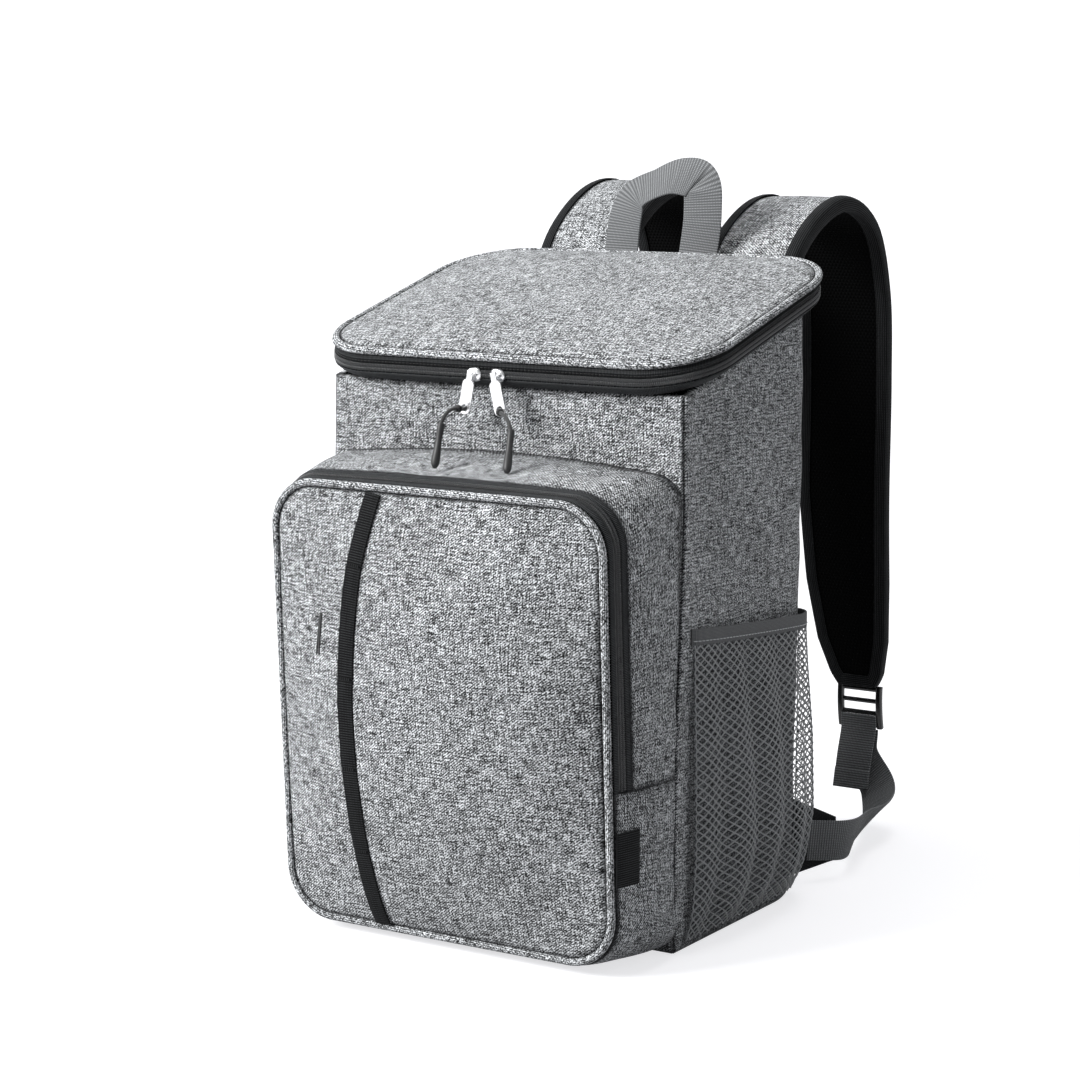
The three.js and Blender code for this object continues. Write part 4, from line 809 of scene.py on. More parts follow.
def teeth(build, path, across, out, pitch=1.3):
    # Two rows of coil teeth, leaning together, on either side of a zip's middle.
    length = lengths_of(path)[-1]
    at = np.arange(pitch, length - pitch / 2, pitch)
    for side in (1, -1):
        places, wide, up = resample(path, at + (pitch / 2 if side > 0 else 0), across, out)
        wide, up = unit(wide), unit(up)
        along = unit(np.cross(wide, up))
        lean = math.radians(14 * side)
        turned = wide * math.cos(lean) + along * math.sin(lean)
        forward = along * math.cos(lean) - wide * math.sin(lean)
        build.copies(TOOTH, TOOTH_FACES, places + wide * 1.38 * side + up * 0.85, forward, turned, up)


def dashes(build, path, out, length, space, radius):
    # A row of stitches that dip into the cloth at both ends.
    lift, sag = 0.25, 0.22
    total = lengths_of(path)[-1]
    for start in np.arange(1.0, total - length, length + space):
        at = start + length * np.array([0.0, 0.2, 0.5, 0.8, 1.0])
        spots, up = resample(path, at, out)
        rise = np.array([-sag, lift * 0.7, lift, lift * 0.7, -sag])[:, None]
        build.tube(spots + unit(up) * rise, radius, 5)


def lid_zip():
    p, n = lid_run(lid_outline(), True)
    base = p - n * BAND_INSET
    out3 = np.column_stack([n, np.zeros(len(n))])
    up3 = np.tile([0.0, 0.0, 1.0], (len(n), 1))

    tape = Build()
    path = on_lid(base[:, 0], base[:, 1], (BAND_TOP + COIL_TOP + 0.3) / 2) - out3 * 0.6
    section = rounded_section(COIL_TOP + 0.3 - BAND_TOP, 1.2, 0.5)
    section = np.stack([section[:, 1] + 0.35 * np.cos(section[:, 0] / 6.5 * math.pi), section[:, 0]], 1)
    tape.sweep(path, out3, up3, section)
    tape.make("lid_tape_upper", TAPE, ["lid_zip_upper_tape"])

    coil = Build()
    path = on_lid(base[:, 0], base[:, 1], (COIL_TOP + COIL_BOTTOM) / 2)
    coil.sweep(path - out3 * 1.0, out3, up3, np.array([[0.5, -2.9], [0.5, 2.9], [-0.6, 2.9], [-0.6, -2.9]]))
    teeth(coil, path - out3 * 0.7, up3, out3)
    coil.make("lid_coil", COIL, ["lid_zip_coil"])

    q, m = lid_run(rim_outline(), True)
    lower = Build()
    top = on_lid(base[:, 0], base[:, 1], LOWER_TAPE_TOP)
    inner = q - m * 1.2
    low = on_lid(inner[:, 0], inner[:, 1], BODY_RIM + GAP + 0.9)
    rows = []
    for drop, order in ((0.0, np.linspace(0, 1, 8)), (0.9, np.linspace(1, 0, 8))):
        for t in order:
            rows.append(mix(top, low, t) - np.array([0, 0, 1.6 * math.sin(math.pi * t) + drop]))
    v = np.concatenate([np.linspace(0, 14, 8), np.linspace(14.9, 29, 8), [30]])
    lower.band(np.stack(rows, 1), lengths_of(top), v)
    lower.make("lid_tape_lower", TAPE, ["lid_zip_lower_tape"])

    row = Build()
    path = on_lid(base[:, 0], base[:, 1], COIL_TOP + 1.15)
    dashes(row, path + out3 * 0.05, out3, 1.9, 1.0, 0.22)
    row.make("lid_zip_stitches", DARK_STITCH)


def lid_hinge():
    p, n = lid_run(lid_outline(), False)
    q, m = lid_run(rim_outline(), False)
    high = p - n * BAND_INSET
    rows = []
    for depth, order in ((0.0, np.linspace(0, 1, 9)), (1.2, np.linspace(1, 0, 9))):
        for t in order:
            spot = mix(high - n * depth, q - m * depth, t) + n * 1.1 * math.sin(math.pi * t)
            rows.append(on_lid(spot[:, 0], spot[:, 1], mix(BAND_TOP, BODY_RIM + GAP, t)))
    rows = np.stack(rows, 1)
    s = lengths_of(rows[:, 0])
    v = np.concatenate([np.linspace(0, 20, 9), np.linspace(21, 41, 9), [42]])
    build = Build()
    # Painted shade along the hinge's upper and lower edges, where they tuck in.
    painted_shade = np.zeros((len(s), 18))
    painted_shade[:, [0, 8, 9, 17]] = 0.9
    build.band(rows, s, v, seam=painted_shade)
    build.make("hinge", HEATHER, ["lid_hinge"])


lid_zip()
lid_hinge()

# Front pocket
POCKET_HALF, POCKET_LOW, POCKET_HIGH, POCKET_CORNER = 132.0, 6.0, 315.0, 36.0
POCKET_MIDDLE = (POCKET_LOW + POCKET_HIGH) / 2
POCKET_DEPTH, POCKET_LEAN = 76.0, math.tan(math.radians(2.9))
GUSSET_WALL, ZIP_END = 2.5, 126.0


def pocket_front(z):
    return FRONT - POCKET_DEPTH - (z - POCKET_MIDDLE) * POCKET_LEAN


def on_pocket(x, z, depth):
    return np.stack(np.broadcast_arrays(x, pocket_front(z) - depth, z), -1)


def pocket_outline(inset=0.0):
    return outline(POCKET_HALF - inset, POCKET_LOW + inset, POCKET_HIGH - inset, POCKET_CORNER - inset,
                   POCKET_CORNER - inset, 18, 40)


def seam_outline():
    p, n = outline(BODY_WIDTH / 2 - GAP, 8, 331, 18, 18, 18, 40)
    drop = 9 * (p[:, 0] / (BODY_WIDTH / 2)) ** 2 * (p[:, 1] / 331)
    return np.column_stack([p[:, 0], p[:, 1] - drop]), n


def panel_crown(x, z):
    return 30 * crown_share(x, POCKET_HALF, z, POCKET_LOW, POCKET_HIGH, 2.4)


def pocket_ripple(x, z):
    form = 0.75 * waves(x, z, 150, 21) + 0.25 * waves(x, z, 55, 23)
    form = form + crease(x, z, (-112, 292), (-80, 250), 9, 0.9) + crease(x, z, (118, 270), (96, 200), 9, 0.7)
    form = form + crease(x, z, (-30, 60), (20, 34), 8, 0.6) + crease(x, z, (100, 60), (70, 30), 8, 0.8)
    return form


def pocket_pairs(over_zip):
    (p, n), (q, m) = pocket_outline(), seam_outline()
    rows = np.hstack([p, n, q, m])
    above = p[:, 1] > ZIP_END
    up = int(np.argmax(~above & np.roll(above, -1)))
    down = int(np.argmax(above & ~np.roll(above, -1)))
    height = ZIP_END + (0.15 if over_zip else -0.15)

    def crossing(i):
        share = (height - p[i, 1]) / (p[i + 1, 1] - p[i, 1])
        return mix(rows[i], rows[i + 1], share)[None]

    if over_zip:
        return np.vstack([crossing(up), rows[up + 1:down + 1], crossing(down)])
    return np.vstack([crossing(down), rows[down + 1:], rows[:up + 1], crossing(up)])


def gusset(pairs, depth, inset, extra=0.0):
    front, front_n, seam, seam_n = (pairs[:, k:k + 2] for k in (0, 2, 4, 6))
    near, far = pocket_front(front[:, 1]), front_wall(seam[:, 1]) - 1
    share = np.minimum(depth / (far - near), 1)[:, None]
    normal = unit(mix(front_n, seam_n, share))
    q = mix(front, seam, share) + normal * (3 * np.sin(math.pi * share) - inset + np.reshape(extra, (-1, 1)))
    return np.column_stack([q[:, 0], mix(near, far, share[:, 0]), q[:, 1]])


def gusset_band(name, pairs, start, node, seed):
    count = 22
    depths = np.concatenate([mix(start, 72, np.linspace(0, 1, count - 1)), [200]])
    s = lengths_of(gusset(pairs, 40, 0))
    outer, inner, painted_shade = [], [], []
    for k, depth in enumerate(depths):
        free = math.sin(math.pi * min(k / (count - 1), 1)) ** 0.6
        fold = (0.8 * waves(s, depth, 70, seed) + 0.45 * waves(s, depth * 0.4, 24, seed + 1)) * free
        if node == "pocket_upper_gusset":
            x = gusset(pairs, depth, 0)[:, 0]
            top = pairs[:, 3] > 0.6
            for spot, width, dent in ((-18, 11, 2.2), (30, 10, 1.8)):
                fold = fold - top * dent * np.exp(-((x - spot) / width) ** 2 - ((depth - 34) / 14) ** 2)
            fold = fold + top * free * crease(x, depth, (92, 60), (120, 44), 3.5, 1.4)
            fold = fold + top * free * crease(x, depth, (70, 62), (84, 48), 3.0, 1.0)
        if k in (0, count - 1):
            fold = fold * 0
        outer.append(gusset(pairs, depth, 0, np.minimum(fold, 1.6)))
        inner.append(gusset(pairs, depth, GUSSET_WALL, np.minimum(fold, 1.6)))
        # Painted shade along the gusset's front edge and its seam with the body, for shadow in these
        # crevices.
        edge = min(depth - start, 76)
        gap = 76 - min(depth, 76)
        painted_shade.append(np.full(len(pairs), min(1, math.exp(-(edge / 1.6) ** 2) + math.exp(-(gap / 2.6) ** 2))))
    rows = np.stack(outer + inner[::-1], 1)
    v = np.concatenate([np.minimum(depths, 76), 160 - np.minimum(depths[::-1], 76), [170]])
    painted_shade = np.array(painted_shade + painted_shade[::-1]).T
    # More painted shade at the band's two ends.
    end = np.exp(-(np.minimum(s, s[-1] - s) / 1.2) ** 2)
    build = Build()
    build.band(rows, s, v, seam=np.maximum(painted_shade, 0.9 * end[:, None]))
    build.make(name, HEATHER, [node])


def pocket():
    build = Build()
    edge, _ = pocket_outline(2 * PIPING_RADIUS + GAP)
    crowned(build, edge, np.array([0.0, POCKET_MIDDLE]), panel_crown, on_pocket, 2.0, 44, 1.2, pocket_ripple)
    build.make("pocket_face", HEATHER, ["pocket_panel"])

    cord = Build()
    p, n = pocket_outline(PIPING_RADIUS)
    piping_band(cord, p, n, on_pocket)
    cord.make("pocket_cord_edge", PIPING, ["pocket_piping"])

    pairs = pocket_pairs(True)
    for name, node, start, end in (("pocket_tape_front", "pocket_zip_front_tape", 3.0, 7.2),
                                   ("pocket_tape_rear", "pocket_zip_rear_tape", 13.8, 18.0)):
        tape = Build()
        shape = rounded_section(end - start, 1.2, 0.5)
        rows = []
        for step, rise in shape:
            inset = 1.2 - 0.4 * math.cos(step / (end - start) * math.pi) - rise
            rows.append(gusset(pairs, (start + end) / 2 + step, inset))
        rows = np.stack(rows, 1)
        tape.band(rows, lengths_of(rows[:, 0]), np.linspace(0, 10, len(shape) + 1))
        tape.make(name, TAPE, [node])

    coil = Build()
    middle = gusset(pairs, 10.5, 1.9)
    outer = gusset(pairs, 10.5, 0.9)
    wide = unit(gusset(pairs, 12.5, 1.9) - gusset(pairs, 8.5, 1.9))
    out = unit(outer - middle)
    coil.sweep(middle, wide, out, np.array([[-2.9, -0.6], [2.9, -0.6], [2.9, 0.5], [-2.9, 0.5]]))
    teeth(coil, middle + out * 0.3, wide, out)
    coil.make("pocket_coil", COIL, ["pocket_zip_coil"])

    gusset_band("pocket_side_upper", pairs, 18.3, "pocket_upper_gusset", 31)
    gusset_band("pocket_side_lower", pocket_pairs(False), 3.0, "pocket_lower_gusset", 37)


pocket()


def strip():
    # The webbing strip follows the bulge, and bars of stitches hold it down.
    share = np.linspace(0, 1, 121)
    z = mix(POCKET_LOW + 6, POCKET_HIGH - 6, share)
    x = -50 - 7.5 * np.sin(math.pi * share) + 5.5 * np.clip(share * 2 - 1, 0, 1) ** 2
    raised = panel_crown(x, z) + pocket_ripple(x, z) * np.clip(np.minimum(share, 1 - share) / 0.04, 0, 1)
    path = on_pocket(x, z, raised + 1.35)
    tangent = unit(np.gradient(path, axis=0))
    across = unit(ACROSS - tangent * tangent[:, :1])
    out = np.cross(across, tangent)
    out = out * np.sign(-out[:, 1:2])
    build = Build()
    build.sweep(path, across, out, rounded_section(12.4, 1.2, 0.5))
    build.make("pocket_strip", STRIP, ["pocket_webbing_strip"])
    bars = Build()
    s = lengths_of(path)
    for height in (262, 186, 124, 66):
        at = np.interp(height, z, s)
        for step in (-0.55, 0.0, 0.55):
            spot, wide, up = resample(path, np.array([at + step]), across, out)
            line = spot + wide * np.linspace(-5.2, 5.2, 9)[:, None] + up * (0.75 + 0.06 * (step == 0))
            bars.tube(line, 0.42, 6)
    bars.make("pocket_strip_bars", STRIP)


def pocket_slit():
    # A short bound slit left of the strip, with its lips a little open at the foot.
    build = Build()
    t = np.linspace(0, 1, 25)
    z = mix(227.0, 198.0, t)
    for side, lean in ((-1, 0.9), (1, 0.55)):
        x = -81.5 - 2.7 * t + side * (0.55 + lean * t ** 2)
        path = on_pocket(x, z, panel_crown(x, z) + pocket_ripple(x, z) + 0.35)
        build.tube(path, 0.5 + 0.25 * np.sin(math.pi * t), 8)
    build.make("pocket_slit", DARK_STITCH)


strip()
pocket_slit()


def tag():
    # The bare tag is a folded tape sewn in behind the piping.
    edge = pocket_pairs(False)[-1:]
    depth = np.linspace(3, 23, 13)
    base = np.vstack([gusset(edge, d, 0) for d in depth])
    rows = []
    heights = np.linspace(64, 100, 19)
    for face in (0.25, 1.35):
        for z in heights:
            wave = 0.35 * np.sin((depth - 3) / 20 * math.pi) * math.sin((z - 64) / 36 * math.pi)
            rows.append(np.column_stack([base[:, 0] + GAP + face + wave, base[:, 1], np.full(13, z)]))
        heights = heights[::-1]
    rows = np.array(rows)
    build = Build()
    v = np.concatenate([np.linspace(0, 36, 19), np.linspace(37, 73, 19)])
    uv = np.stack(np.broadcast_arrays((depth - 3)[None], v[:, None]), -1)
    build.grid(rows, uv)
    ring_low = np.arange(38) * 13
    build.cap(ring_low.tolist(), np.zeros((38, 2)))
    build.cap((ring_low + 12)[::-1].tolist(), np.zeros((38, 2)))
    build.grid(np.array([rows[-1], rows[0]]), uv[:2])
    build.make("tag", BINDING, ["side_tag"])


tag()

# Net side pockets
NET_FORM = [(0, 0.0), (0.1, 0.6), (0.3, 1.0), (0.6, 0.8), (0.85, 0.42), (1.0, 0.25)]
NET_LOW, NET_TOP_FRONT, NET_TOP_REAR = 9.0, 222.0, 207.0
BINDING_HEIGHT = 11.0


def side_place(side, run, z, stand):
    # Points that stand off the compartment's side, by their share of its run from front to rear.
    run, z, stand = np.broadcast_arrays(*(np.asarray(v, float) for v in (run, z, stand)))
    half = side_wall(z / rim_height(0))
    bend = REAR - REAR_CORNER
    straight = bend - (FRONT + 8)
    length = straight + REAR_CORNER * math.radians(50)
    d = run * length
    angle = np.maximum(d - straight, 0) / REAR_CORNER
    nx, ny = np.cos(angle), np.sin(angle)
    x = np.where(d < straight, half, half - REAR_CORNER + REAR_CORNER * nx) + nx * stand
    y = np.where(d < straight, FRONT + 8 + d, bend + REAR_CORNER * ny) + ny * stand
    return np.stack([side * x, y, z], -1)


def slack(run):
    return np.sqrt(np.maximum(np.sin(math.pi * np.clip(run, 0, 1)), 0))


def binding_top(run):
    return mix(NET_TOP_FRONT, NET_TOP_REAR, run)


def net_place(side, run, rise, out=0.0):
    z = mix(NET_LOW, binding_top(run) - BINDING_HEIGHT - GAP, rise)
    full = read(NET_FORM, rise, 1)
    pleat = 0.0
    for spot, lean, size in ((0.16, 0.03, 3.2), (0.37, -0.04, 4.2), (0.58, 0.03, 3.4), (0.79, -0.03, 3.0)):
        centre = spot + lean * (rise - 0.5)
        pleat = pleat - size * np.exp(-((run - centre) / 0.045) ** 2)
    pleat = pleat * np.clip(1.1 - 0.55 * rise, 0, 1) * np.minimum(rise / 0.08, 1) * np.minimum(full / 0.4, 1)
    bulge = 20 * full * slack(run)
    stand = np.maximum(1.9 + bulge + pleat + 0.6, 1.2)
    return side_place(side, run, z, stand + out)


def net(side_name):
    side = SIDES[side_name]
    columns, rows = 21, 66
    j, i = np.meshgrid(np.arange(rows + 1), np.arange(columns + 1), indexing="ij")
    run = np.clip((i - 0.25 + 0.5 * (j % 2)) / columns, 0.006, 0.994)
    rise = j / rows
    squeeze = 0.012 * np.sin(run * 2 * math.pi * 4.2 + 1.0) * (1 - rise)
    points = net_place(side, np.clip(run + squeeze, 0.006, 0.994), rise)
    starts, ends = [], []
    for r in range(rows):
        here, there = points[r], points[r + 1]
        if r % 2 == 0:
            starts += [here, here[1:]]
            ends += [there, there[:-1]]
        else:
            starts += [here, here[:-1]]
            ends += [there, there[1:]]
    a, b = np.vstack(starts), np.vstack(ends)
    keep = np.linalg.norm(b - a, axis=1) > 0.8
    a, b = a[keep], b[keep]
    along = unit(b - a)
    out = np.tile([side, 0.15, 0.0], (len(a), 1))
    across = unit(np.cross(along, out))
    up = np.cross(across, along)
    length = np.linalg.norm(b - a, axis=1)
    # Each thread is thinner at its middle than at its knots.
    template, faces = [], []
    for spot, radius in ((-0.03, 0.62), (0.5, 0.46), (1.03, 0.62)):
        for k in range(4):
            angle = math.radians(90 * k + 45)
            template.append([spot, radius * math.cos(angle), radius * math.sin(angle)])
    for r in range(2):
        for k in range(4):
            m = (k + 1) % 4
            faces.append((4 * r + k, 4 * r + m, 4 * r + 4 + m, 4 * r + 4 + k))
    faces += [(3, 2, 1, 0), (8, 9, 10, 11)]
    build = Build()
    build.copies(np.array(template), faces, a, along * length[:, None], across, up)
    piece = build.make(f"net_{side_name}", NET, [f"net_pocket_{side_name}"])

    # The bound upper edge, folded over the net, with one row of pale stitches.
    run = np.linspace(0, 1, 61)
    top = binding_top(run)
    stand = 2 * GAP + 6.5 * slack(run) + 0.8
    middle = side_place(side, run, top - BINDING_HEIGHT / 2, stand)
    ahead = side_place(side, run, top - BINDING_HEIGHT / 2, stand + 1)
    out = unit(ahead - middle)
    up = np.tile([0.0, 0.0, 1.0], (61, 1))
    shape = rounded_section(1.5, BINDING_HEIGHT, 0.7)
    bound = Build()
    bound.sweep(middle, out, up, shape)
    edge = bound.make(f"net_edge_{side_name}", BOUND_EDGE, [f"net_binding_{side_name}"])
    row = Build()
    dashes(row, middle + out * 0.8 - up * 2.7, out, 2.8, 1.3, 0.3)
    stitches = row.make(f"net_edge_stitches_{side_name}", STITCH)


for side in SIDES:
    net(side)


# Back panel

def back_panel():
    half, low, high = BODY_WIDTH / 2 - REAR_CORNER - 8, 14, 362
    edge, _ = outline(half, low, high, 26, 26, 12, 24)
    centre = np.array([0.0, (low + high) / 2])
    build = Build()

    def lay(x, z, out):
        return np.stack(np.broadcast_arrays(x, REAR + GAP + out, z), -1)

    def height(x, z):
        # Two long channels and one across divide the padding.
        crown = 6 + 4 * crown_share(x, half, z, low, high, 3)
        for spot in (-34, 34):
            crown = crown - 2.6 * np.exp(-((x - spot) / 5) ** 2)
        return crown - 2.0 * np.exp(-((z - 200) / 5) ** 2)

    rows, uv = [], []
    for share in np.concatenate([np.linspace(0.02, 0.95, 30), [0.975, 1.0]]):
        q = centre + (edge - centre) * share
        rows.append(lay(q[:, 0], q[:, 1], height(q[:, 0], q[:, 1]) * (1 if share < 0.96 else 0.8)))
        uv.append(np.vstack([q, q[:1]]))
    for out in (3.0, 0.0):
        rows.append(lay(edge[:, 0], edge[:, 1], out))
        uv.append(np.vstack([edge, edge[:1]]) + (0, 8 - out))
    rows, uv = np.array(rows), np.array(uv)
    count = len(edge)
    build.grid(rows, uv, wrap=True)
    build.fan(list(range(count)), lay(0.0, centre[1], height(0.0, centre[1])), uv[0][:-1], centre)
    last = (len(rows) - 1) * count
    build.cap(range(last, last + count), uv[-1][:-1])
    build.make("back_pad", MESH, ["back_panel"])


back_panel()

# Shoulder straps
STRAP_CREST = {"right": 488.0, "left": 498.0}
STRAP_CLIMB = [(0, 0), (0, 0.36), (0.09, 0.68), (0.34, 0.93)]
STRAP_FALL = [(0.6, 0), (0.84, 0.05), (0.97, 0.18), (1, 0.36), (1, 0.62), (1.03, 0.85), (1.06, 1)]
TIP_SHIFT = 0.14
STRAP_OUTLINE = [
    (0, 0.5, 0, 1),
    (0.74, 0.5, 0, 1),
    (0.86, 0.46, 0.04, 1),
    (0.94, 0.39, 0.09, 1),
    (0.985, 0.29, 0.13, 1),
    (1, 0.22, TIP_SHIFT, 0.5),
]
STRAP_WIDTH, STRAP_PAD, STRAP_SPACING = 74.0, 6.0, 70.0
STRAP_STAND, STRAP_REACH = 8.9, 168.0
STRAP_ROOT, STRAP_FOOT = 370.0, 112.0
STRAP_SHARES = np.concatenate([np.linspace(0, 0.9, 70), np.linspace(0.91, 1, 22)])


def strap_line(name):
    crest = STRAP_CREST[name]
    back = REAR + STRAP_STAND
    route = [[0, back + STRAP_REACH * r, mix(STRAP_ROOT, crest, rise)] for r, rise in STRAP_CLIMB]
    route += [[0, back + STRAP_REACH * r, mix(crest, STRAP_FOOT, fall)] for r, fall in STRAP_FALL]
    return catmull(np.array(route, float), np.linspace(0, 1, 1201))


def strap_place(name):
    line = strap_line(name)
    s = lengths_of(line)
    tangents = unit(np.gradient(line, axis=0))

    def spot(along, sideways, out):
        along, sideways, out = np.broadcast_arrays(*(np.asarray(v, float) for v in (along, sideways, out)))
        shape = along.shape
        flat = along.ravel()
        held = np.clip(flat, 0, s[-1])
        at = np.stack([np.interp(held, s, line[:, k]) for k in range(3)], 1)
        tangent = unit(np.stack([np.interp(held, s, tangents[:, k]) for k in range(3)], 1))
        at = at + tangent * (flat - held)[:, None]
        at = at + np.cross(ACROSS, tangent) * out.ravel()[:, None]
        at[:, 0] = SIDES[name] * (STRAP_SPACING + sideways.ravel())
        return at.reshape(*shape, 3)

    return spot, s[-1]


def strap_row(share, column):
    xs = [row[0] for row in STRAP_OUTLINE]
    ys = [row[column] for row in STRAP_OUTLINE]
    return np.interp(share, xs, ys)


def strap(name):
    spot, length = strap_place(name)
    half = STRAP_WIDTH * strap_row(STRAP_SHARES, 1) - 1
    shift = STRAP_WIDTH * strap_row(STRAP_SHARES, 2)
    pad = STRAP_PAD * strap_row(STRAP_SHARES, 3)
    along = STRAP_SHARES * length

    def layered(low, high, piece, finish, node):
        sections = np.concatenate([low, high], 1)
        build = Build()
        rows = spot(along[:, None], shift[:, None] + sections[..., 0], sections[..., 1])
        around = np.linalg.norm(np.diff(np.concatenate([sections, sections[:, :1]], 1), axis=1), axis=2)
        v = np.concatenate([np.zeros((len(along), 1)), np.cumsum(around, 1)], 1)
        uv = np.stack(np.broadcast_arrays(v, along[:, None]), -1)
        build.grid(rows, uv, wrap=True)
        width = sections.shape[1]
        build.cap(range(width - 1, -1, -1), sections[0][::-1])
        build.cap(range((len(along) - 1) * width, len(along) * width), sections[-1])
        build.make(f"{piece}_{name}", finish, [f"{node}_{name}"])

    across = np.linspace(1, -1, 25)
    profile = 1 - np.abs(across) ** 6
    wide, thick = half[:, None], pad[:, None] / 2
    rise = thick + thick * profile + 0.35 * waves(wide * across, along[:, None], 60, 41) * profile

    def face(reach, height):
        return np.stack(np.broadcast_arrays(reach, height), -1)

    layered(face(-wide * across[::4], GAP / 2), face(wide * across, rise),
            "strap_cloth", HEATHER, "strap_pad")
    layered(face(-wide * across[::2], -3.0), face(wide * across[::2], -GAP / 2),
            "strap_mesh", MESH, "strap_lining")

    # The bound edge grips both faces, down one side, round the tip and up the other.
    left = np.stack([along, shift - half], 1)
    right = np.stack([along, shift + half], 1)
    steps = np.linspace(0, 1, 9)[1:-1, None]
    edge = np.vstack([left, mix(left[-1], right[-1], steps), right[::-1]])
    run = unit(np.gradient(edge, axis=0))
    shape = np.array([
        [-8, 6.3], [-4, 6.15], [-1.5, 5.2], [0.0, 3.8], [0.3, 3.4], [0.3, -3.2], [-1, -3.3], [-8, -3.3],
        [-8.2, -3.8], [-7.8, -4.3], [-1, -4.3], [0.6, -4.1], [1.25, -3.4], [1.3, 0], [1.3, 3.7], [0.9, 4.7],
        [-0.6, 6.2], [-3.6, 7.15], [-7.6, 7.3], [-8.2, 6.9],
    ])
    rows = spot(edge[:, :1] + run[:, 1:] * shape[:, 0], edge[:, 1:] - run[:, :1] * shape[:, 0], shape[:, 1])
    build = Build()
    s = lengths_of(np.column_stack([edge, np.zeros(len(edge))]))
    build.band(rows, s, lengths_of(np.vstack([shape, shape[:1]])), shape)
    build.make(f"strap_edge_{name}", BINDING, [f"strap_binding_{name}"])


for side in SIDES:
    strap(side)

# Webbing, buckles and anchors
WEBBING_WIDTH, WEBBING_THICKNESS = 30.0, 1.4
ANCHOR_LENGTH, ANCHOR_FOOT, ANCHOR_HEIGHT = 44.0, 6.0, 62.0
BUCKLE_HALF = 17.0
WEBBING_BEND = [
    (0.29, 0.42, 0.733, (0.4, 0.2, 0.9)),
    (0.442, 0.72, 0.733, (0.7, 0, 0.6)),
    (0.686, 0.93, 1.1, (1, -0.2, 0.2)),
    (1, 1, 1.833, (1, 0, 0)),
]


def route_band(build, route, steps):
    # A flat band along a route whose rows give a place and the direction across it.
    t = np.linspace(0, 1, steps + 1)
    at = np.array([row[0] for row in route], float)
    wide = np.array([row[1] for row in route], float)
    path = catmull(at, t)
    tangent = unit(np.gradient(path, axis=0))
    spots = t * (len(route) - 1)
    across = np.stack([np.interp(spots, np.arange(len(route)), wide[:, k]) for k in range(3)], 1)
    across = unit(across - tangent * np.sum(across * tangent, 1, keepdims=True))
    normal = np.cross(across, tangent)
    shape = rounded_section(WEBBING_WIDTH, WEBBING_THICKNESS, 0.6)
    points = path[:, None] + across[:, None] * shape[:, :1] + normal[:, None] * shape[:, 1:]
    build.band(points, lengths_of(path), np.append(shape[:, 0], shape[0, 0]), shape)
    return path, across, normal


def anchor_frame(name):
    angle = math.radians(58)
    side = SIDES[name]
    out = np.array([side * math.cos(angle), math.sin(angle), 0])
    normal = np.array([side * math.sin(angle), -math.cos(angle), 0])
    half = side_wall(ANCHOR_HEIGHT / 2 / rim_height(0))
    root = np.array([side * (half - REAR_CORNER), REAR - REAR_CORNER, 0.0]) + out * (REAR_CORNER + 0.6)
    return out, normal, root


def buckle_frame(name):
    spot, length = strap_place(name)
    start = length + 1.9 + BUCKLE_HALF
    shift = STRAP_WIDTH * TIP_SHIFT
    centre = spot(np.array([start]), shift, 3.0)[0]
    down = unit(spot(np.array([start + 1]), shift, 3.0)[0] - centre)
    return centre, down


def buckle(name):
    # A ladder buckle: two rails bowed outwards, joined by four bars.
    centre, down = buckle_frame(name)
    side = np.cross(down, ACROSS)
    build = Build()
    length = np.linspace(-BUCKLE_HALF, BUCKLE_HALF, 25)
    bow = 1.4 * (1 - (length / BUCKLE_HALF) ** 2) - 0.7
    for x in (-16.5, 16.5):
        line = centre + down * length[:, None] + side * bow[:, None] + ACROSS * x
        shape = rounded_section(5.0, 4.6, 1.4, 4)
        tangent = unit(np.gradient(line, axis=0))
        build.sweep(line, np.tile(ACROSS, (25, 1)), np.cross(ACROSS, tangent), shape)
    for step, size, lift in ((-14.6, 2.3, -0.4), (-4.9, 1.9, 0.5), (4.9, 1.9, 0.5), (14.6, 2.3, -0.4)):
        line = centre + down * step + side * lift + ACROSS * np.linspace(-16.4, 16.4, 15)[:, None]
        build.tube(line, size, 12)
    build.make(f"buckle_{name}", PLASTIC, [f"ladder_buckle_{name}"])


def webbing(name):
    side = SIDES[name]
    out, normal, root = anchor_frame(name)
    centre, down = buckle_frame(name)
    start = root + out * ANCHOR_LENGTH * 0.45 + normal * (1.9 + GAP)
    start[2] = ANCHOR_FOOT + ANCHOR_HEIGHT * 0.42
    leave = start + out * ANCHOR_LENGTH * 0.7
    end = centre + down * (BUCKLE_HALF + 1.2)
    leave[2] = WEBBING_WIDTH * 0.967
    route = [(start, [0, 0, 1]), (leave, [0.1 * side, 0.1, 1])]
    for over, back, rise, (x, y, z) in WEBBING_BEND:
        at = [mix(leave[0], end[0], over), mix(leave[1], end[1], back), WEBBING_WIDTH * rise]
        route.append((at, [side * x, y, z]))
    route.append((end, [side, 0, 0]))
    build = Build()
    route_band(build, route, 90)
    build.make(f"webbing_{name}", WEBBING, [f"strap_webbing_{name}"])

    forward = np.cross(down, ACROSS)
    tail = Build()
    steps = [(centre + down * drop + forward * stand, [side, 0, 0])
             for drop, stand in ((6, 3.8), (16, 3.8), (38, 12.8), (62, 20.8))]
    path, across, face = (rows[-9:] for rows in route_band(tail, steps, 40))
    # The free end is folded back and sewn.
    tail.sweep(path - face * 1.5, across, face, rounded_section(29.4, 1.3, 0.6))
    tail.make(f"webbing_end_{name}", WEBBING, [f"webbing_tail_{name}"])


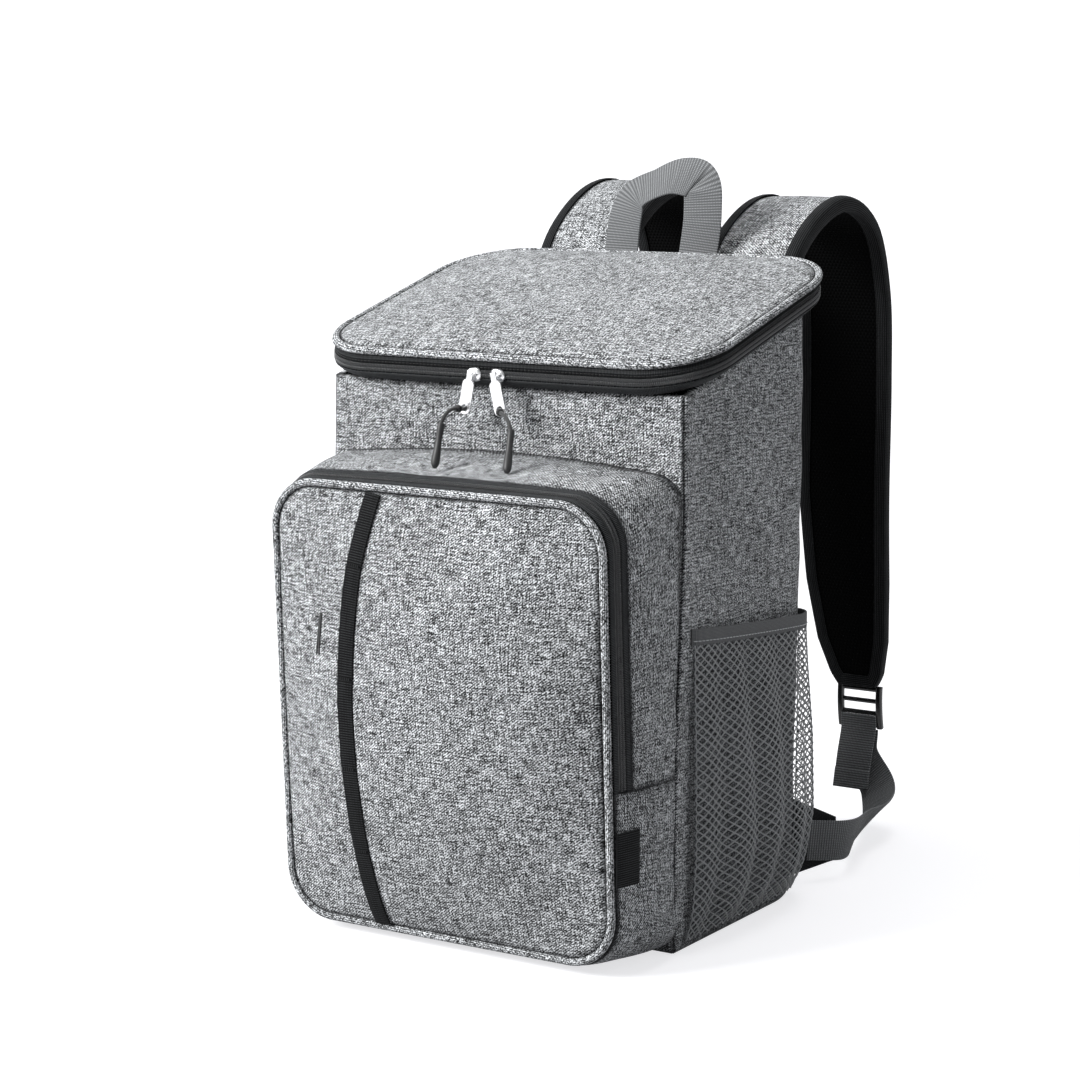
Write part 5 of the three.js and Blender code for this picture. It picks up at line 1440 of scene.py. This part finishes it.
def anchor(name):
    out, normal, root = anchor_frame(name)
    build = Build()
    rows = []
    u = np.linspace(0, 1, 19)
    # The tab narrows from its seam to its end, and is thicker where the webbing is sewn.
    swell = 1 + 0.35 * np.exp(-((u - 0.94) / 0.05) ** 2)
    for face, order in ((-1.1, np.linspace(0, 1, 15)), (1.1, np.linspace(1, 0, 15))):
        for v in order:
            point = root + out * (u * ANCHOR_LENGTH)[:, None] + normal * (face * swell)[:, None]
            point[:, 2] = ANCHOR_FOOT + ANCHOR_HEIGHT * mix(0.14 * u, mix(1.0, 0.66, u), v)
            rows.append(point)
    rows = np.array(rows)
    v = np.concatenate([np.linspace(0, 62, 15), np.linspace(64, 126, 15)])
    uv = np.stack(np.broadcast_arrays((u * ANCHOR_LENGTH)[None], v[:, None]), -1)
    build.grid(rows, uv)
    build.grid(np.array([rows[-1], rows[0]]), uv[:2])
    ring = np.arange(30) * 19
    build.cap(ring.tolist(), np.zeros((30, 2)))
    build.cap((ring + 18)[::-1].tolist(), np.zeros((30, 2)))
    build.make(f"anchor_{name}", BINDING, [f"webbing_anchor_{name}"])
    row = Build()
    for spot in (0.84, 0.88):
        path = np.tile(root + out * (spot * ANCHOR_LENGTH) + normal * 1.45, (9, 1))
        path[:, 2] = ANCHOR_FOOT + ANCHOR_HEIGHT * np.linspace(0.15, 0.68, 9)
        dashes(row, path, np.tile(normal, (9, 1)), 2.4, 1.0, 0.3)
    row.make(f"anchor_stitches_{name}", DARK_STITCH)


for side in SIDES:
    buckle(side)
    webbing(side)
    anchor(side)


# Carry handle. Each row gives its span, rise, drop and lean as shares, and its direction across.
HANDLE_SPAN, HANDLE_RISE, HANDLE_LEAN, HANDLE_ROOT = 66.0, 68.0, 20.0, 440.0
HANDLE_FORM = [
    (-0.485, 0, 1, 0, [-1, 0, 0]),
    (-0.485, 0, 0, 0.3, [-1, 0.1, 0]),
    (-0.455, 0.384, 0, 0.45, [-1, 0.15, 0.05]),
    (-0.38, 0.6, 0, 0.58, [-0.87, 0.35, 0.35]),
    (-0.13, 0.74, 0, 0.72, [-0.4, 0.6, 0.6]),
    (0.165, 0.83, 0, 0.76, [0.07, 0.53, 0.85]),
    (0.45, 0.77, 0, 0.66, [0.6, 0.2, 0.78]),
    (0.52, 0.45, 0, 0.48, [1, 0.1, 0.15]),
    (0.49, 0, 0, 0.3, [1, 0.1, 0]),
    (0.485, 0, 1, 0, [1, 0, 0]),
]


def handle():
    edge = lid_height(LID_REAR)
    seam = REAR + 2.56 + GAP
    route = []
    for span, rise, drop, lean, across in HANDLE_FORM:
        z = edge + rise * HANDLE_RISE - drop * (edge - HANDLE_ROOT)
        route.append(([span * HANDLE_SPAN, seam + lean * HANDLE_LEAN, z], across))
    build = Build()
    route_band(build, route, 120)
    build.make("handle", WEBBING, ["carry_handle"])


handle()


# Zip sliders and pull tabs

def oval(half_width, half_height, middle, count):
    angle = 2 * math.pi * np.arange(count) / count
    return np.column_stack([half_width * np.cos(angle), middle + half_height * np.sin(angle)])


def pull_tab(name):
    lean = math.radians(TAB_LEAN[name])
    half = TAB_WIDTH / 2
    outline_points = [(-1.9, 2.1), (-1.9, -3.1), (-half + 0.4, -5.0), (-half, -5.8)]
    centre_z = -TAB_LENGTH + half
    for k in range(17):
        angle = math.pi + math.pi * k / 16
        outline_points.append((half * math.cos(angle), centre_z + half * math.sin(angle)))
    outline_points += [(half, -5.8), (half - 0.4, -5.0), (1.9, -3.1), (1.9, 2.1)]
    hole = oval(TAB_HOLE / 2, TAB_HOLE / 2, centre_z, 24)
    eye = oval(0.95 * 0.95, 1.15, 0.1, 12)
    curve = bpy.data.curves.new(f"tab_{name}", "CURVE")
    curve.dimensions = "2D"
    curve.fill_mode = "BOTH"
    curve.extrude = 0.5 * MM
    curve.bevel_depth = 0.3 * MM
    curve.bevel_resolution = 2
    for loop in (outline_points, hole, eye):
        spline = curve.splines.new("POLY")
        spline.points.add(len(loop) - 1)
        for point, (x, z) in zip(spline.points, loop):
            point.co = (x * MM, z * MM, 0, 1)
        spline.use_cyclic_u = True
    draft = bpy.data.objects.new(f"tab_draft_{name}", curve)
    scene.collection.objects.link(draft)
    bpy.context.view_layer.update()
    mesh = bpy.data.meshes.new_from_object(draft.evaluated_get(bpy.context.evaluated_depsgraph_get()))
    bpy.data.objects.remove(draft)
    turn = Matrix.Rotation(-lean, 4, "Y") @ Matrix.Rotation(math.pi / 2, 4, "X")
    spot = Matrix.Translation((SLIDER_X[name] * MM, BRIDGE_Y * MM, SLIDER_Z * MM))
    mesh.transform(spot @ turn)
    mesh.name = f"tab_{name}"
    layer = mesh.uv_layers.get("UVMap") or mesh.uv_layers.new(name="UVMap")
    flat = np.zeros((len(mesh.loops), 2), np.float32)
    for k, loop in enumerate(mesh.loops):
        at = mesh.vertices[loop.vertex_index].co
        flat[k] = (at.x / MM, at.z / MM)
    layer.data.foreach_set("uv", flat.ravel())
    mesh.materials.clear()
    mesh.materials.append(METAL)
    mesh.polygons.foreach_set("use_smooth", [False] * len(mesh.polygons))
    return place(bpy.data.objects.new(f"tab_{name}", mesh), [f"pull_tab_{name}"])


def slider(name):
    # A domed plate over the teeth with a bridge that holds the pull tab.
    build = Build()
    x = SLIDER_X[name]
    lean = -1 if name == "left" else 1
    form = [(0.0, 1.0), (0.9, 1.0), (1.5, 0.93), (1.9, 0.8), (2.15, 0.5), (2.2, 0.1)]
    angle = 2 * math.pi * np.arange(32) / 32
    wide = 5.6 * np.sign(np.cos(angle)) * np.abs(np.cos(angle)) ** 0.7
    tall = 4.6 * np.sign(np.sin(angle)) * np.abs(np.sin(angle)) ** 0.75
    taper = 1 - 0.1 * wide * lean / 5.6
    rows, uv = [], []
    for out, scale in form:
        front = np.full(32, SLIDER_Y + 1.0 - out)
        rows.append(np.column_stack([x + wide * scale, front, SLIDER_Z + tall * taper * scale]))
        uv.append(np.column_stack([wide * scale, tall * scale]))
    rows, uv = np.array(rows), np.array(uv)
    uv = np.concatenate([uv, uv[:, :1]], 1)
    start = build.grid(rows, uv, wrap=True)
    build.cap(range(start + 31, start - 1, -1), uv[0][:-1][::-1])
    last = start + 5 * 32
    build.cap(range(last, last + 32), uv[-1][:-1])
    arch = []
    for k in range(17):
        a = math.pi * k / 16
        arch.append([x - 3.3 * math.cos(a), SLIDER_Y - 0.6 - 4.2 * math.sin(a) ** 0.7, SLIDER_Z])
    build.tube(np.array(arch), 0.95, 10)
    build.make(f"slider_{name}", METAL, [f"zip_slider_{name}"])


for side in SIDES:
    slider(side)
    pull_tab(side)


# Floor, backdrop and light

def plain_stage():
    size, depth, height, bend = 4.0, 2.6, 3.2, 0.9
    build = Build()
    profile = [(-6.0, 0.0), (-3, 0), (0, 0), (depth - bend, 0)]
    profile += [(depth - bend + bend * math.sin(a), bend - bend * math.cos(a))
                for a in np.radians(np.arange(10, 91, 10))]
    profile += [(depth, height)]
    back = np.array([-0.5306, 0.8334, 0.0]) / np.linalg.norm([0.5306, 0.8334])
    right = np.array([0.8436, 0.5370, 0.0])
    rows = []
    for y, z in profile:
        rows.append([(right * x + back * y + np.array([0, 0, z])) / MM for x in np.linspace(-size, size, 9)])
    rows = np.array(rows)
    rows[:, :, 2] -= 0.4
    build.grid(rows, rows[..., :2])
    finish, s = material("stage_finish", (0.93, 0.93, 0.95), 0.9)
    tree = finish.node_tree
    output = tree.nodes["Material Output"]
    glow = s.node("ShaderNodeEmission")
    glow.inputs["Color"].default_value = (0.98, 0.98, 1.0, 1)
    glow.inputs["Strength"].default_value = 0.72
    add = s.node("ShaderNodeAddShader")
    s.put(add.inputs[0], s.shader.outputs[0])
    s.put(add.inputs[1], glow.outputs[0])
    dim = s.node("ShaderNodeBsdfDiffuse")
    dim.inputs["Color"].default_value = (0.4, 0.4, 0.41, 1)
    rays = s.node("ShaderNodeLightPath")
    pick = s.node("ShaderNodeMixShader")
    s.put(pick.inputs[0], rays.outputs["Is Diffuse Ray"])
    s.put(pick.inputs[1], add.outputs[0])
    s.put(pick.inputs[2], dim.outputs[0])
    s.put(output.inputs["Surface"], pick.outputs[0])
    s.shader.inputs["Base Color"].default_value = (0.5, 0.5, 0.51, 1)
    s.shader.inputs["Specular IOR Level"].default_value = 0.0
    mesh = bpy.data.meshes.new("stage_floor")
    mesh.from_pydata((np.vstack(build.points) * MM).tolist(), [], build.faces)
    mesh.materials.append(finish)
    mesh.polygons.foreach_set("use_smooth", [True] * len(mesh.polygons))
    floor = bpy.data.objects.new("stage_floor", mesh)
    scene.collection.objects.link(floor)


def area_light(name, at, aim, width, height, power):
    data = bpy.data.lights.new(name, "AREA")
    data.shape = "RECTANGLE"
    data.size, data.size_y = width, height
    data.energy = power
    lamp = bpy.data.objects.new(name, data)
    scene.collection.objects.link(lamp)
    spot = np.array(at, float)
    back = unit(spot - np.array(aim, float))
    right = unit(np.cross([0, 0, 1.0], back))
    up = np.cross(back, right)
    lamp.matrix_world = Matrix(np.vstack([np.column_stack([right, up, back, spot]), [0, 0, 0, 1]]).tolist())


def lighting():
    area_light("key", (-2.3, -3.1, 2.5), (0, -0.05, 0.2), 1.9, 1.9, 330)
    area_light("top", (0.1, 0.3, 2.4), (0, 0, 0.3), 1.4, 1.0, 22)
    area_light("rim", (2.2, 0.6, 1.2), (0.1, 0, 0.25), 0.8, 1.4, 6)
    world = bpy.data.worlds.new("studio")
    scene.world = world
    world.use_nodes = True
    tree = world.node_tree
    sky = tree.nodes["Background"]
    sky.inputs["Color"].default_value = (1, 1, 1, 1)
    sky.inputs["Strength"].default_value = 1.0
    soft = tree.nodes.new("ShaderNodeBackground")
    soft.inputs["Color"].default_value = (0.96, 0.98, 1, 1)
    soft.inputs["Strength"].default_value = 0.24
    rays = tree.nodes.new("ShaderNodeLightPath")
    pick = tree.nodes.new("ShaderNodeMixShader")
    tree.links.new(rays.outputs["Is Camera Ray"], pick.inputs[0])
    tree.links.new(soft.outputs[0], pick.inputs[1])
    tree.links.new(sky.outputs[0], pick.inputs[2])
    tree.links.new(pick.outputs[0], tree.nodes["World Output"].inputs[0])


plain_stage()
lighting()
